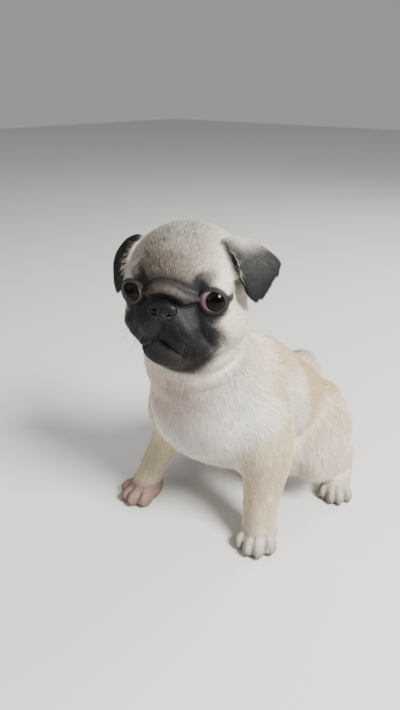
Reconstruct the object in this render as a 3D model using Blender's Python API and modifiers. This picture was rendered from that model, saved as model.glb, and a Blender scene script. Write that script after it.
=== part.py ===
# A pug puppy, life size, in a low squat with its head turned to its left.
# Metres, +Z up. The puppy faces -Y, its left side is +X, and the soles of its paws lie at Z = 0.
# Sizes below are written in millimetres; point() and MM turn them into metres.

import math

import bmesh
import bpy
import numpy as np
from mathutils import Matrix, Vector

MM = 0.001

# Body as a whole
GAP = 0.3  # clearance between neighbouring pieces
VOXEL = 1.3  # grain of the fused body before it is thinned
SOFTEN_BODY = 30  # smoothing rounds on the trunk, which fillet its masses
SOFTEN_FACE = 3  # smoothing rounds everywhere, face and paws included
BODY_TRIANGLES = 7700
EAR_TRIANGLES = 480
NOSE_TRIANGLES = 520
TAIL_TRIANGLES = 420

# Head: its centre, its turn to the left, and its lean, left side up
HEAD_CENTRE = (1.2, -48.0, 190.0)
HEAD_TURN = math.radians(19.5)
HEAD_LEAN = math.radians(1.5)
MUZZLE_LEAN = math.radians(12)  # the soft muzzle hangs a little to the right of the face
EAR_LEAN = math.radians(3)

# Eyes, in the frame of the head (x to its left, -y forward, z up)
EYE_RADIUS = 8.7
EYE_CENTRE = (23.8, -20.5, 6.4)
EYE_OUTWARD = math.radians(20)  # how far each eye looks outward
EYE_WIDTH = 8.3  # half the opening between the corners of the lids
EYE_HEIGHT = 7.0  # half the opening between upper and lower lid

# Nose leather, in the frame of the head
NOSE_CENTRE = (-0.8, -36.0, 1.8)
NOSE_RADII = (8.6, 5.4, 5.6)

# Lower jaw: its upper edge is the arched line of the mouth
JAW_CENTRE = (-1.0, -29, -34.5)
JAW_RADII = (16.5, 23, 16.5)


def point(x, y, z):
    return Vector((x, y, z)) * MM


def placed(centre, turn=0.0, pitch=0.0):
    """The frame of a body part: its centre in millimetres, turned about Z and pitched about X."""
    return (
        Matrix.Translation(point(*centre))
        @ Matrix.Rotation(turn, 4, "Z")
        @ Matrix.Rotation(pitch, 4, "X")
    )


HEAD = placed(HEAD_CENTRE, HEAD_TURN) @ Matrix.Rotation(-HEAD_LEAN, 4, "Y")
MUZZLE = HEAD @ Matrix.Rotation(MUZZLE_LEAN, 4, "Y")
EARS = HEAD @ Matrix.Rotation(-EAR_LEAN, 4, "Y")
WORLD = Matrix.Identity(4)


def mirrored(stations):
    return [(-x, *rest) for x, *rest in stations]


# Blender housekeeping


def clear_scene():
    for obj in list(bpy.data.objects):
        bpy.data.objects.remove(obj)


def new_collection(name):
    collection = bpy.data.collections.new(name)
    bpy.context.scene.collection.children.link(collection)
    return collection


def new_object(name, mesh, collection):
    obj = bpy.data.objects.new(name, mesh)
    collection.objects.link(obj)
    return obj


def new_cutter(name, mesh, collection):
    obj = new_object(name, mesh, collection)
    obj.hide_render = True
    obj.display_type = "WIRE"
    return obj


def copied(obj, name, collection):
    return new_object(name, obj.data.copy(), collection)


def mesh_from(form, name):
    mesh = bpy.data.meshes.new(name)
    form.to_mesh(mesh)
    form.free()
    return mesh


def applied(obj):
    """Replaces an object's mesh with its evaluated one and drops its modifiers."""
    graph = bpy.context.evaluated_depsgraph_get()
    graph.update()
    mesh = bpy.data.meshes.new_from_object(obj.evaluated_get(graph))
    obj.modifiers.clear()
    obj.data = mesh
    return obj


def boolean(obj, cutter, operation):
    modifier = obj.modifiers.new(operation.title(), "BOOLEAN")
    modifier.operation = operation
    modifier.object = cutter
    modifier.solver = "EXACT"
    return applied(obj)


def keep_largest(obj):
    """Keeps the largest closed surface of a mesh, which drops loose scraps and sealed hollows."""
    form = bmesh.new()
    form.from_mesh(obj.data)
    form.verts.ensure_lookup_table()
    island = {}
    sizes = []
    for start in form.verts:
        if start.index in island:
            continue
        label = len(sizes)
        island[start.index] = label
        stack, count = [start], 0
        while stack:
            vertex = stack.pop()
            count += 1
            for edge in vertex.link_edges:
                other = edge.other_vert(vertex)
                if other.index not in island:
                    island[other.index] = label
                    stack.append(other)
        sizes.append(count)
    best = sizes.index(max(sizes))
    scraps = [v for v in form.verts if island[v.index] != best]
    bmesh.ops.delete(form, geom=scraps, context="VERTS")
    form.to_mesh(obj.data)
    form.free()
    return obj


# Masses of flesh: each is an ellipsoid, held as the matrix that makes it from a unit sphere


def ball(masses, frame, centre, radii, turn=0.0, pitch=0.0):
    """An ellipsoid, turned about Z and pitched about X inside its frame."""
    matrix = frame @ placed(centre, turn, pitch) @ Matrix.Diagonal((*(r * MM for r in radii), 1))
    masses.append(np.array(matrix))


def between(stations, share):
    """The station at a share of the way along a list of them, on a smooth curve through all."""
    at = share * (len(stations) - 1)
    first = min(int(at), len(stations) - 2)
    t = at - first
    a, b = np.array(stations[first]), np.array(stations[first + 1])
    before = np.array(stations[first - 1]) if first > 0 else 2 * a - b
    after = np.array(stations[first + 2]) if first + 2 < len(stations) else 2 * b - a
    return 0.5 * (
        2 * a
        + (b - before) * t
        + (2 * before - 5 * a + 4 * b - after) * t**2
        + (3 * a - before - 3 * b + after) * t**3
    )


def chain(masses, frame, stations, count):
    """A row of ellipsoids along a smooth curve. A station is x, y, z and the three radii."""
    for i in range(count):
        x, y, z, rx, ry, rz = between(stations, i / (count - 1))
        ball(masses, frame, (x, y, z), (rx, ry, rz))


def cord(masses, frame, stations, count):
    """A round limb along a smooth curve. A station is x, y, z and the radius."""
    chain(masses, frame, [(x, y, z, r, r, r) for x, y, z, r in stations], count)


def gathered(masses, name):
    """One mesh of all the masses, still overlapping."""
    form = bmesh.new()
    bmesh.ops.create_uvsphere(form, u_segments=28, v_segments=16, radius=1.0)
    sphere = np.array([(*v.co, 1.0) for v in form.verts])
    faces = [[v.index for v in face.verts] for face in form.faces]
    form.free()
    points = np.concatenate([(sphere @ matrix.T)[:, :3] for matrix in masses])
    every = [[i + len(sphere) * k for i in face] for k in range(len(masses)) for face in faces]
    mesh = bpy.data.meshes.new(name)
    mesh.from_pydata(points.tolist(), [], every)
    return mesh


def fused(masses, name, collection, voxel):
    """The masses melted into one closed surface."""
    obj = new_object(name, gathered(masses, name), collection)
    remesh = obj.modifiers.new("Fuse", "REMESH")
    remesh.mode = "VOXEL"
    remesh.voxel_size = voxel * MM
    return applied(obj)


def thinned(obj, triangles):
    present = sum(len(face.vertices) - 2 for face in obj.data.polygons)
    decimate = obj.modifiers.new("Thin", "DECIMATE")
    decimate.ratio = triangles / present
    decimate.use_collapse_triangulate = True
    return applied(obj)


# Trunk and neck, from the chest to the rump and from the shoulders to the head

TRUNK = [
    (-3, -41, 106, 32, 21, 30),
    (-3, -31, 104, 42, 32, 41),
    (0, -12, 96, 43, 26, 50),
    (0, 14, 97, 44, 26, 48),
    (0, 42, 80, 43, 26, 45),
    (0, 66, 69, 40, 24, 37),
    (0, 85, 61, 32, 20, 29),
    (0, 98, 57, 20, 14, 19),
]
NECK = [
    (-3, -24, 118, 43, 37, 34),
    (-3, -33, 138, 40, 36, 28),
    (-2, -39, 157, 36, 34, 24),
    (-1, -38, 176, 32, 29, 22),
]


def add_trunk(masses):
    chain(masses, WORLD, TRUNK, 40)
    chain(masses, WORLD, NECK, 18)


# Legs: stations run from the shoulder or hip to the paw

FORELEG_LEFT = [
    (28, -14, 104, 26),
    (34, -14, 84, 24),
    (38, -13, 64, 18.5),
    (39, -15, 46, 15.0),
    (40.5, -18.5, 28, 13.4),
    (41.5, -20, 14, 12.8),
]
FORELEG_RIGHT = [
    (-29, -20, 104, 26),
    (-37, -22, 84, 23),
    (-43, -20, 64, 17.5),
    (-48.5, -26, 46, 13.0),
    (-53.5, -35, 28, 10.8),
    (-56.5, -40, 14, 11.4),
]
HINDLEG_LEFT = [
    (22, 78, 62, 25),
    (33, 66, 58, 28),
    (43, 51, 49, 24.5),
    (49, 41, 41, 17),
    (52, 57, 35, 14.5),
    (52, 75, 33, 11.5),
    (53, 81, 28, 9.5),
    (55, 76, 18, 9),
    (56, 70, 11, 10),
]


FLANK = ((31, 33, 45), (16, 22, 17))  # the fold of skin between the belly and the knee


def add_legs(masses):
    (x, y, z), radii = FLANK
    ball(masses, WORLD, (x, y, z), radii)
    ball(masses, WORLD, (-x, y, z), radii)
    cord(masses, WORLD, FORELEG_LEFT, 30)
    cord(masses, WORLD, FORELEG_RIGHT, 30)
    cord(masses, WORLD, HINDLEG_LEFT, 40)
    cord(masses, WORLD, mirrored(HINDLEG_LEFT), 40)


# Paws: a pad with four toes before it, and a claw on each toe

TOES = 4
PAWS = {
    # name: centre on the floor, turn to the left, half its width
    "forepaw_left": ((41.7, -21), math.radians(24), 15.0),
    "forepaw_right": ((-57, -41.5), math.radians(-4), 15.0),
    "hindpaw_left": ((57, 64), math.radians(30), 13.2),
    "hindpaw_right": ((-57, 64), math.radians(-30), 13.2),
}
CLAW_LENGTH = 4.0
CLAW_RADIUS = 1.15


def paw_frame(name):
    (x, y), turn, half = PAWS[name]
    return placed((x, y, 0), turn), half


def toes(half):
    """Each toe of a paw in the paw's frame: its centre, its radii and how far out it lies."""
    for i in range(TOES):
        across = (2 * i - TOES + 1) / (TOES - 1)
        inner = 1 - abs(across)
        centre = (across * half * 0.7, -half * (0.5 + 0.6 * inner), half * 0.4)
        yield centre, (half * 0.31, half * 0.52, half * 0.44), across


def add_paws(masses):
    for name in PAWS:
        frame, half = paw_frame(name)
        ball(masses, frame, (0, half * 0.1, half * 0.55), (half * 0.9, half * 0.95, half * 0.72))
        for centre, radii, across in toes(half):
            ball(masses, frame, centre, radii, turn=across * 0.3)


def claws(name, collection):
    """The four claws of a paw, pointing forward and down."""
    frame, half = paw_frame(name)
    for centre, radii, across in toes(half):
        x, y, z = centre
        tip = (x + across * 0.8, y - radii[1] + 0.6, z - radii[2] * 0.25)
        claw = frame @ placed(tip, across * 0.3, math.radians(58))
        form = bmesh.new()
        bmesh.ops.create_cone(
            form,
            cap_ends=True,
            segments=8,
            radius1=0.35 * MM,
            radius2=CLAW_RADIUS * MM,
            depth=CLAW_LENGTH * MM,
            matrix=claw,
        )
        yield new_cutter("claw", mesh_from(form, "claw"), collection)


# Head: masses in its own frame, then the folds of its skin


def both_sides(masses, frame, centre, radii):
    """A pair of masses of the head, left and right."""
    x, y, z = centre
    ball(masses, frame, (x, y, z), radii)
    ball(masses, frame, (-x, y, z), radii)


HEAD_MIDDLE = [
    # frame, centre, radii
    (HEAD, (-1.5, 2, 9.5), (37, 34, 33)),  # skull
    (HEAD, (0, 16, -4), (32, 25, 29)),  # nape
    (HEAD, (0, -15, 17), (24, 16, 18)),  # forehead
    (HEAD, (0, -24, 2), (13, 11, 13)),  # bridge behind the nose
    (MUZZLE, (0, -23, -27), (17, 13, 11)),  # chin
    (MUZZLE, (0, -10, -24), (29, 21, 13)),  # throat
]
HEAD_PAIRS = [
    (HEAD, (20, -5, -11), (18.5, 24, 19)),  # cheeks
    (HEAD, (17, -15, 11.5), (14.5, 13, 14.5)),  # rims of the eye sockets
    (HEAD, (12, -20, 19), (10, 8, 8)),  # brows
    (MUZZLE, (9.5, -25, -9), (13, 12.5, 12.5)),  # lips beside the nose
    (MUZZLE, (19, -16.5, -17), (12.5, 15, 13)),  # flews at the corners of the mouth
]
NOSE_ROLL = [
    # the fold of skin that arches over the nose from cheek to cheek
    (25, -20, -14, 4.4),
    (19.2, -25.5, -6.5, 4.5),
    (13.0, -28.5, 4.5, 4.2),
    (7.0, -31.5, 11.6, 4.5),
    (-0.8, -32.6, 13.6, 4.5),
]


def eye_frame(side):
    """The frame of an eye: its own -y is the way it looks. The side is 1 for left, -1 for right."""
    x, y, z = EYE_CENTRE
    return HEAD @ placed((side * x, y, z), side * EYE_OUTWARD)


LID_BEADS = 28
LID_THICKNESS = 2.2


def add_lids(masses, side):
    """A rim of flesh round the opening of an eye."""
    frame = eye_frame(side)
    for i in range(LID_BEADS):
        angle = 2 * math.pi * i / LID_BEADS
        across = EYE_WIDTH * math.cos(angle) * 1.03
        up = EYE_HEIGHT * math.sin(angle) * 1.06
        out = math.sqrt(max((EYE_RADIUS + 0.6) ** 2 - across**2 - up**2, 1))
        ball(masses, frame, (across, -out, up), [LID_THICKNESS] * 3)


def add_head(masses):
    for frame, centre, radii in HEAD_MIDDLE:
        ball(masses, frame, centre, radii)
    for frame, centre, radii in HEAD_PAIRS:
        both_sides(masses, frame, centre, radii)
    cord(masses, HEAD, NOSE_ROLL + mirrored(NOSE_ROLL[:-1])[::-1], 60)
    for side in (1, -1):
        add_lids(masses, side)


FACE_FOLDS = [
    # points across the face as x, z in the frame of the head; width; depth
    ([(0, 9.0), (4.5, 8.2), (9, 5.4), (12, 1), (14.5, -3.5), (18.5, -10), (23, -17)], 1.8, 2.8),
    ([(0, 17.9), (5, 17.2), (10, 14.4), (13.5, 11), (15, 8)], 1.7, 1.7),
    ([(14, 10.8), (15.5, 16), (20, 20.5)], 2.2, 1.2),
    ([(20, 24), (26, 21), (31, 16)], 1.5, 0.6),
    ([(17, -1), (22, -3.5), (28, -3)], 1.6, 0.9),
    ([(27, -12), (28, -19), (25, -26)], 2.2, 0.9),
]
MUZZLE_FOLDS = [
    ([(0, -3), (0, -10), (0, -18)], 0.9, 1.4),
    ([(-1, -17.5), (5, -18.5), (9, -21), (13, -25.5), (15.5, -30)], 1.4, 1.5),
]


def line_distance(points, line):
    """The least distance from each point to a broken line in two dimensions, and how far along."""
    least = np.full(len(points), np.inf)
    along = np.zeros(len(points))
    for i, (a, b) in enumerate(zip(line, line[1:])):
        a, b = np.array(a, float), np.array(b, float)
        share = np.clip((points - a) @ (b - a) / max((b - a) @ (b - a), 1e-9), 0, 1)
        away = np.linalg.norm(points - a - share[:, None] * (b - a), axis=1)
        along = np.where(away < least, (i + share) / (len(line) - 1), along)
        least = np.minimum(least, away)
    return least, along


def eased(points, steps=24):
    """A broken line eased into a curve."""
    return [tuple(between(points, i / steps)) for i in range(steps + 1)]


FACE_START = 6  # how far before the middle of the head the face begins
FACE_BLEND = 8
FACE_HEIGHT = 45


def press_folds(obj, frame, folds):
    """Presses folds of the face into the fused body along its normals."""
    mesh = obj.data
    count = len(mesh.vertices)
    world = np.empty(count * 3)
    mesh.vertices.foreach_get("co", world)
    world = world.reshape(-1, 3)
    normals = np.array([tuple(v.vector) for v in mesh.vertex_normals])
    into_face = np.array(frame.inverted())
    local = (world @ into_face[:3, :3].T + into_face[:3, 3]) / MM
    facing = -(normals @ into_face[:3, :3].T)[:, 1]
    front = np.clip((-local[:, 1] - FACE_START) / FACE_BLEND, 0, 1)
    front *= np.clip(facing * 3 + 0.4, 0, 1) * (np.abs(local[:, 2]) < FACE_HEIGHT)
    pressed = np.zeros(count)
    for points, width, depth in folds:
        line = eased(points)
        for side in (1, -1):
            away, along = line_distance(local[:, [0, 2]] * (side, 1), line)
            fade = 1 - 0.8 * np.clip((along - 0.6) / 0.4, 0, 1)
            pressed = np.maximum(pressed, depth * fade * np.exp(-((away / width) ** 2)))
    moved = world - normals * (pressed * front)[:, None] * MM
    mesh.vertices.foreach_set("co", moved.ravel())
    mesh.update()


def soften(obj, rounds, group=""):
    smooth = obj.modifiers.new("Soften", "SMOOTH")
    smooth.factor = 0.5
    smooth.iterations = rounds
    smooth.vertex_group = group


FACE_MIDDLE = (0, -22, 0)
FACE_REACH = (30, 55)  # softening starts and is full at these distances from the face
PAW_REACH = (10, 24)  # and at these heights over the floor


def share_of(value, reach):
    low, high = reach
    return min(max((value - low) / (high - low), 0), 1)


def mark_soft(obj):
    """Weights the trunk and limbs for softening, and spares the face and the paws."""
    group = obj.vertex_groups.new(name="soft")
    face = HEAD @ point(*FACE_MIDDLE)
    for vertex in obj.data.vertices:
        away = share_of((vertex.co - face).length / MM, FACE_REACH)
        height = share_of(vertex.co.z / MM, PAW_REACH)
        group.add([vertex.index], away * height, "REPLACE")


def fused_body(collection):
    masses = []
    add_trunk(masses)
    add_legs(masses)
    add_paws(masses)
    add_head(masses)
    body = fused(masses, "body", collection, VOXEL)
    mark_soft(body)
    soften(body, SOFTEN_BODY, "soft")
    soften(body, SOFTEN_FACE)
    applied(body)
    press_folds(body, HEAD, FACE_FOLDS)
    press_folds(body, MUZZLE, MUZZLE_FOLDS)
    return thinned(body, BODY_TRIANGLES)


# Cutters, grown by a clearance where they cut the piece that stays behind


def slab(name, centre, normal, grow, collection, reach=400.0):
    """A half space: everything beyond a plane on the side that its normal points to."""
    normal = Vector(normal).normalized()
    turn = Vector((0, 0, 1)).rotation_difference(normal).to_matrix().to_4x4()
    shift = Matrix.Translation(point(*centre) - normal * grow * MM)
    form = bmesh.new()
    bmesh.ops.create_cube(form, size=1.0)
    for vertex in form.verts:
        vertex.co = Vector((vertex.co.x, vertex.co.y, vertex.co.z + 0.5)) * reach * MM
    bmesh.ops.transform(form, matrix=shift @ turn, verts=form.verts)
    return new_cutter(name, mesh_from(form, name), collection)


def block(name, frame, low, high, grow, collection):
    """A box between two corners, in a frame."""
    form = bmesh.new()
    bmesh.ops.create_cube(form, size=1.0)
    for vertex in form.verts:
        for axis in range(3):
            side = high[axis] + grow if vertex.co[axis] > 0 else low[axis] - grow
            vertex.co[axis] = side * MM
    bmesh.ops.transform(form, matrix=frame, verts=form.verts)
    return new_cutter(name, mesh_from(form, name), collection)


def egg(name, frame, centre, radii, grow, collection, turn=0.0, segments=28):
    """An ellipsoid cutter."""
    scale = Matrix.Diagonal((*((r + grow) * MM for r in radii), 1))
    form = bmesh.new()
    bmesh.ops.create_uvsphere(
        form,
        u_segments=segments,
        v_segments=segments // 2,
        radius=1.0,
        matrix=frame @ placed(centre, turn) @ scale,
    )
    return new_cutter(name, mesh_from(form, name), collection)


def split_off(body, name, region, collection):
    """Takes a region of the body as a piece of its own and leaves a clearance behind."""
    piece = copied(body, name, collection)
    boolean(piece, region(0.0), "INTERSECT")
    boolean(body, region(GAP), "DIFFERENCE")
    keep_largest(piece)
    keep_largest(body)
    return piece


# Ears: folded flaps, each a sheet of points with thickness, in the frame of the head

EAR_THICKNESS = 2.6
EAR_ROWS = [
    # from the root to the tip; each row runs from the front edge to the back edge
    [(21, -5, 31), (24, 3, 30.5), (27, 11, 27), (28, 18, 20)],
    [(24, -7, 34.5), (31, 0, 35), (38, 7, 30), (43, 14, 21)],
    [(28, -10.5, 33), (36, -4, 32.5), (46, 3, 27), (55, 10.5, 17.5)],
    [(32, -13.5, 25), (38.5, -8, 23), (46, -1.5, 19), (53.5, 5, 13)],
    [(36, -14.5, 15), (40.5, -11, 13.5), (45.5, -6, 11), (50, -1, 8)],
    [(40.5, -12.5, 2), (42, -11, 0), (44.5, -9, 0), (46.5, -6.5, 2)],
]


def ear(name, side, collection):
    """A sheet through the rows, thickened and rounded. The side is 1 for left, -1 for right."""
    form = bmesh.new()
    grid = [[form.verts.new(EARS @ point(side * x, y, z)) for x, y, z in row] for row in EAR_ROWS]
    for upper, lower in zip(grid, grid[1:]):
        for i in range(len(upper) - 1):
            corners = (upper[i], upper[i + 1], lower[i + 1], lower[i])
            form.faces.new(corners if side > 0 else corners[::-1])
    obj = new_object(name, mesh_from(form, name), collection)
    solid = obj.modifiers.new("Thickness", "SOLIDIFY")
    solid.thickness = EAR_THICKNESS * MM
    solid.offset = 0
    rounded = obj.modifiers.new("Round", "SUBSURF")
    rounded.levels = 2
    rounded.render_levels = 2
    return thinned(applied(obj), EAR_TRIANGLES)


def swollen(obj, name, clearance, collection):
    """A copy of a piece grown outward by a clearance, as the cutter for what rests against it."""
    cutter = new_cutter(name, obj.data.copy(), collection)
    displace = cutter.modifiers.new("Swell", "DISPLACE")
    displace.strength = clearance * MM
    displace.mid_level = 0
    return applied(cutter)


# Eyes, nose and tail


def sphere(name, frame, radius, collection):
    form = bmesh.new()
    bmesh.ops.create_uvsphere(form, u_segments=20, v_segments=12, radius=radius * MM, matrix=frame)
    return new_object(name, mesh_from(form, name), collection)


def nose_leather(name, grow, collection):
    """The pad of the nose: broad above, narrow below, its nostrils cut by two slanted drops."""
    form = bmesh.new()
    bmesh.ops.create_uvsphere(form, u_segments=20, v_segments=14, radius=1.0)
    for vertex in form.verts:
        x, y, z = vertex.co
        narrow = 1.0 + 0.16 * z
        vertex.co = (x * (NOSE_RADII[0] + grow) * narrow, y * (NOSE_RADII[1] + grow), 0)
        vertex.co.z = z * (NOSE_RADII[2] + grow)
        vertex.co *= MM
    bmesh.ops.transform(form, matrix=HEAD @ placed(NOSE_CENTRE), verts=form.verts)
    return new_object(name, mesh_from(form, name), collection)


def nostril_cutters(collection):
    x, y, z = NOSE_CENTRE
    for side in (1, -1):
        centre = (side * 3.7, y - 4.6, z - 0.4)
        yield egg("nostril", HEAD, centre, (1.5, 2.8, 1.9), 0, collection, side * 0.5, 12)
        slit = (side * 6.0, y - 3.6, z - 1.2)
        yield egg("slit", HEAD, slit, (2.4, 2.2, 0.9), 0, collection, side * 0.6, 12)


TAIL = [
    (0, 96, 58, 9),
    (0, 107, 67, 9),
    (-1, 111, 77, 8.3),
    (-5, 105, 86, 7.6),
    (-10, 96, 88, 6.8),
    (-15, 89, 84, 5.8),
    (-17, 88, 78, 4.4),
]


def tail_form(collection):
    masses = []
    cord(masses, WORLD, TAIL, 50)
    tail = fused(masses, "tail", collection, 1.3)
    soften(tail, 3)
    applied(tail)
    return thinned(tail, TAIL_TRIANGLES)


# Surfaces

COLOURS = {
    # name: colour, roughness
    "fawn": ((0.56, 0.44, 0.31), 0.85),
    "cream": ((0.76, 0.68, 0.57), 0.85),
    "mask": ((0.03, 0.027, 0.027), 0.75),
    "ear": ((0.05, 0.055, 0.06), 0.7),
    "nose": ((0.012, 0.013, 0.014), 0.35),
    "eye": ((0.012, 0.009, 0.008), 0.08),
}
NODE_COLOURS = {
    "head": "fawn",
    "lower_jaw": "mask",
    "nose": "nose",
    "ear_left": "ear",
    "ear_right": "ear",
    "eye_left": "eye",
    "eye_right": "eye",
    "neck": "cream",
    "torso": "fawn",
    "tail": "cream",
    "foreleg_left": "cream",
    "foreleg_right": "cream",
    "forepaw_left": "cream",
    "forepaw_right": "cream",
    "hindleg_left": "cream",
    "hindleg_right": "cream",
    "hindpaw_left": "cream",
    "hindpaw_right": "cream",
}


def paint(obj):
    colour, roughness = COLOURS[NODE_COLOURS[obj.name]]
    material = bpy.data.materials.new(obj.name)
    material.use_nodes = True
    surface = material.node_tree.nodes["Principled BSDF"]
    surface.inputs["Base Color"].default_value = (*colour, 1)
    surface.inputs["Roughness"].default_value = roughness
    surface.inputs["Metallic"].default_value = 0
    obj.data.materials.clear()
    obj.data.materials.append(material)
    obj.data.shade_smooth()
    obj.data.set_sharp_from_angle(angle=math.radians(45))


def centre_on_floor(pieces):
    """Moves every piece so that the middle of the whole stands over the origin."""
    points = np.array([tuple(v.co) for obj in pieces for v in obj.data.vertices])
    middle = (points.min(axis=0) + points.max(axis=0)) / 2
    for obj in pieces:
        obj.data.transform(Matrix.Translation((-middle[0], -middle[1], 0)))


PLANES = {
    # a point of each plane, and the normal that points to the piece taken
    "head": ((0, -36, 158), (0.05, -0.35, 0.94)),
    "neck": ((0, -22, 122), (0, -0.45, 0.89)),
}
LIMB_EGGS = {
    # centre and radii of the ellipsoid that holds each limb
    "foreleg_left": ((50, -14, 48), (27, 38, 62)),
    "foreleg_right": ((-54, -24, 48), (27, 38, 62)),
    "hindleg_left": ((58, 66, 45), (36, 56, 50)),
    "hindleg_right": ((-58, 66, 45), (36, 56, 50)),
}
WRIST_HEIGHT = {"forepaw": 19.0, "hindpaw": 17.0}


def main():
    clear_scene()
    puppy = new_collection("pug_puppy")
    cutters = new_collection("cutters")
    body = fused_body(puppy)
    below = block("below", WORLD, (-200, -200, -60), (200, 200, 0), 0, cutters)
    boolean(body, below, "DIFFERENCE")

    pieces = []
    for name in PAWS:
        frame, half = paw_frame(name)
        top = WRIST_HEIGHT[name.split("_")[0]]
        low, high = (-half * 1.6, -half * 2.2, -10), (half * 1.6, half * 1.5, top)

        def region(grow):
            return block("wrist", frame, low, high, grow, cutters)

        paw = split_off(body, name, region, puppy)
        for claw in claws(name, cutters):
            boolean(paw, claw, "UNION")
        pieces.append(keep_largest(paw))
    for name, (centre, radii) in LIMB_EGGS.items():

        def region(grow):
            return egg("limb", WORLD, centre, radii, grow, cutters)

        pieces.append(split_off(body, name, region, puppy))
    for name, (centre, normal) in PLANES.items():

        def region(grow):
            return slab("plane", centre, normal, grow, cutters)

        pieces.append(split_off(body, name, region, puppy))
    head, neck = pieces[-2:]
    body.name = "torso"
    pieces.append(body)

    for name, side in (("ear_left", 1), ("ear_right", -1)):
        flap = ear(name, side, puppy)
        boolean(flap, swollen(head, "scalp", GAP, cutters), "DIFFERENCE")
        pieces.append(keep_largest(flap))
    for name, side in (("eye_left", 1), ("eye_right", -1)):
        pieces.append(sphere(name, eye_frame(side), EYE_RADIUS, puppy))
        socket = sphere("socket", eye_frame(side), EYE_RADIUS + GAP, cutters)
        boolean(head, socket, "DIFFERENCE")

    def jaw_region(grow):
        return egg("jaw", MUZZLE, JAW_CENTRE, JAW_RADII, grow, cutters)

    pieces.append(split_off(head, "lower_jaw", jaw_region, puppy))
    nose = nose_leather("nose", 0, puppy)
    boolean(head, nose_leather("nose_bed", GAP, cutters), "DIFFERENCE")
    for cutter in nostril_cutters(cutters):
        boolean(nose, cutter, "DIFFERENCE")
    pieces.append(keep_largest(thinned(nose, NOSE_TRIANGLES)))
    keep_largest(head)

    tail = tail_form(puppy)
    boolean(tail, swollen(body, "rump", GAP, cutters), "DIFFERENCE")
    pieces.append(keep_largest(tail))

    for cutter in list(cutters.objects):
        bpy.data.objects.remove(cutter)
    bpy.data.collections.remove(cutters)
    centre_on_floor(pieces)
    for obj in pieces:
        paint(obj)


main()
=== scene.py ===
# A pug puppy as a life-size museum model: one skin, its coat in tufts, eyes, nose, claws and whiskers.
# Metres, +Z up. The puppy faces -Y and its left side is +X.
import math

import bmesh
import bpy
import numpy as np
from mathutils import Matrix, Vector
from mathutils.bvhtree import BVHTree


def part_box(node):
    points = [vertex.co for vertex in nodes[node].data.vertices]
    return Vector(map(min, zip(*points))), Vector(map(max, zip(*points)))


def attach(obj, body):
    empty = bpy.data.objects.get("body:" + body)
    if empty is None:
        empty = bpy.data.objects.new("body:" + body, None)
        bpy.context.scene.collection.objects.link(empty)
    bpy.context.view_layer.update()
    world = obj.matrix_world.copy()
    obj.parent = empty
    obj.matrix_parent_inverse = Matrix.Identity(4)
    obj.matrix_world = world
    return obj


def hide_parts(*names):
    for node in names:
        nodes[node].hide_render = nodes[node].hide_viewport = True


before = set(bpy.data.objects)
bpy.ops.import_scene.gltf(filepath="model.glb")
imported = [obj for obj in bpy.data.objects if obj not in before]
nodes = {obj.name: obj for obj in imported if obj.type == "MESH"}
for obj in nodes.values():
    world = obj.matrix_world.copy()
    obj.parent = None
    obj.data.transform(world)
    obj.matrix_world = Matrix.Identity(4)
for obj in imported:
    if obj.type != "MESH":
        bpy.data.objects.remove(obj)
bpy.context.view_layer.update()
mm = 0.001


# Small helpers


def toLinear(hexText):
    values = [int(hexText[i : i + 2], 16) / 255 for i in (1, 3, 5)]
    return tuple(v / 12.92 if v <= 0.04045 else ((v + 0.055) / 1.055) ** 2.4 for v in values) + (1,)


def addNode(tree, kind, settings=None, links=None):
    # a link may name a node, which stands for its first output
    node = tree.nodes.new(kind)
    for key, value in (settings or {}).items():
        if isinstance(key, int) or key in node.inputs:
            node.inputs[key].default_value = value
        else:
            setattr(node, key, value)
    for key, source in (links or {}).items():
        if isinstance(source, bpy.types.Node):
            source = source.outputs[0]
        tree.links.new(source, node.inputs[key])
    return node


def ramp(value, low, high):
    share = np.clip((value - low) / (high - low), 0, 1)
    return share * share * (3 - 2 * share)


def newObject(name, mesh):
    obj = bpy.data.objects.new(name, mesh)
    bpy.context.scene.collection.objects.link(obj)
    return obj


def readPoints(mesh):
    flat = np.empty(len(mesh.vertices) * 3)
    mesh.vertices.foreach_get("co", flat)
    return flat.reshape(-1, 3)


def writePoints(mesh, points):
    mesh.vertices.foreach_set("co", np.asarray(points, float).ravel())
    mesh.update()


def readNormals(mesh):
    flat = np.empty(len(mesh.vertices) * 3, np.float32)
    mesh.vertex_normals.foreach_get("vector", flat)
    return flat.reshape(-1, 3).astype(float)


def shadeSmooth(mesh):
    mesh.polygons.foreach_set("use_smooth", np.ones(len(mesh.polygons), bool))


def readEdges(mesh):
    flat = np.empty(len(mesh.edges) * 2, int)
    mesh.edges.foreach_get("vertices", flat)
    return flat.reshape(-1, 2)


def neighbourMean(values, edges):
    flat = values if values.ndim > 1 else values[:, None]
    count = np.bincount(edges.ravel(), minlength=len(flat)).clip(1)
    out = np.empty_like(flat, float)
    for k in range(flat.shape[1]):
        ahead = np.bincount(edges[:, 0], weights=flat[edges[:, 1], k], minlength=len(flat))
        behind = np.bincount(edges[:, 1], weights=flat[edges[:, 0], k], minlength=len(flat))
        out[:, k] = (ahead + behind) / count
    return out if values.ndim > 1 else out[:, 0]


def eased(values, edges, rounds, share=1.0):
    for _ in range(rounds):
        values = values + share * (neighbourMean(values, edges) - values)
    return values


def unit(vectors):
    return vectors / np.maximum(np.linalg.norm(vectors, axis=-1, keepdims=True), 1e-9)


def evaluated(obj):
    # the object with its modifiers applied
    graph = bpy.context.evaluated_depsgraph_get()
    graph.update()
    mesh = bpy.data.meshes.new_from_object(obj.evaluated_get(graph))
    obj.modifiers.clear()
    obj.data = mesh
    return obj


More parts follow.
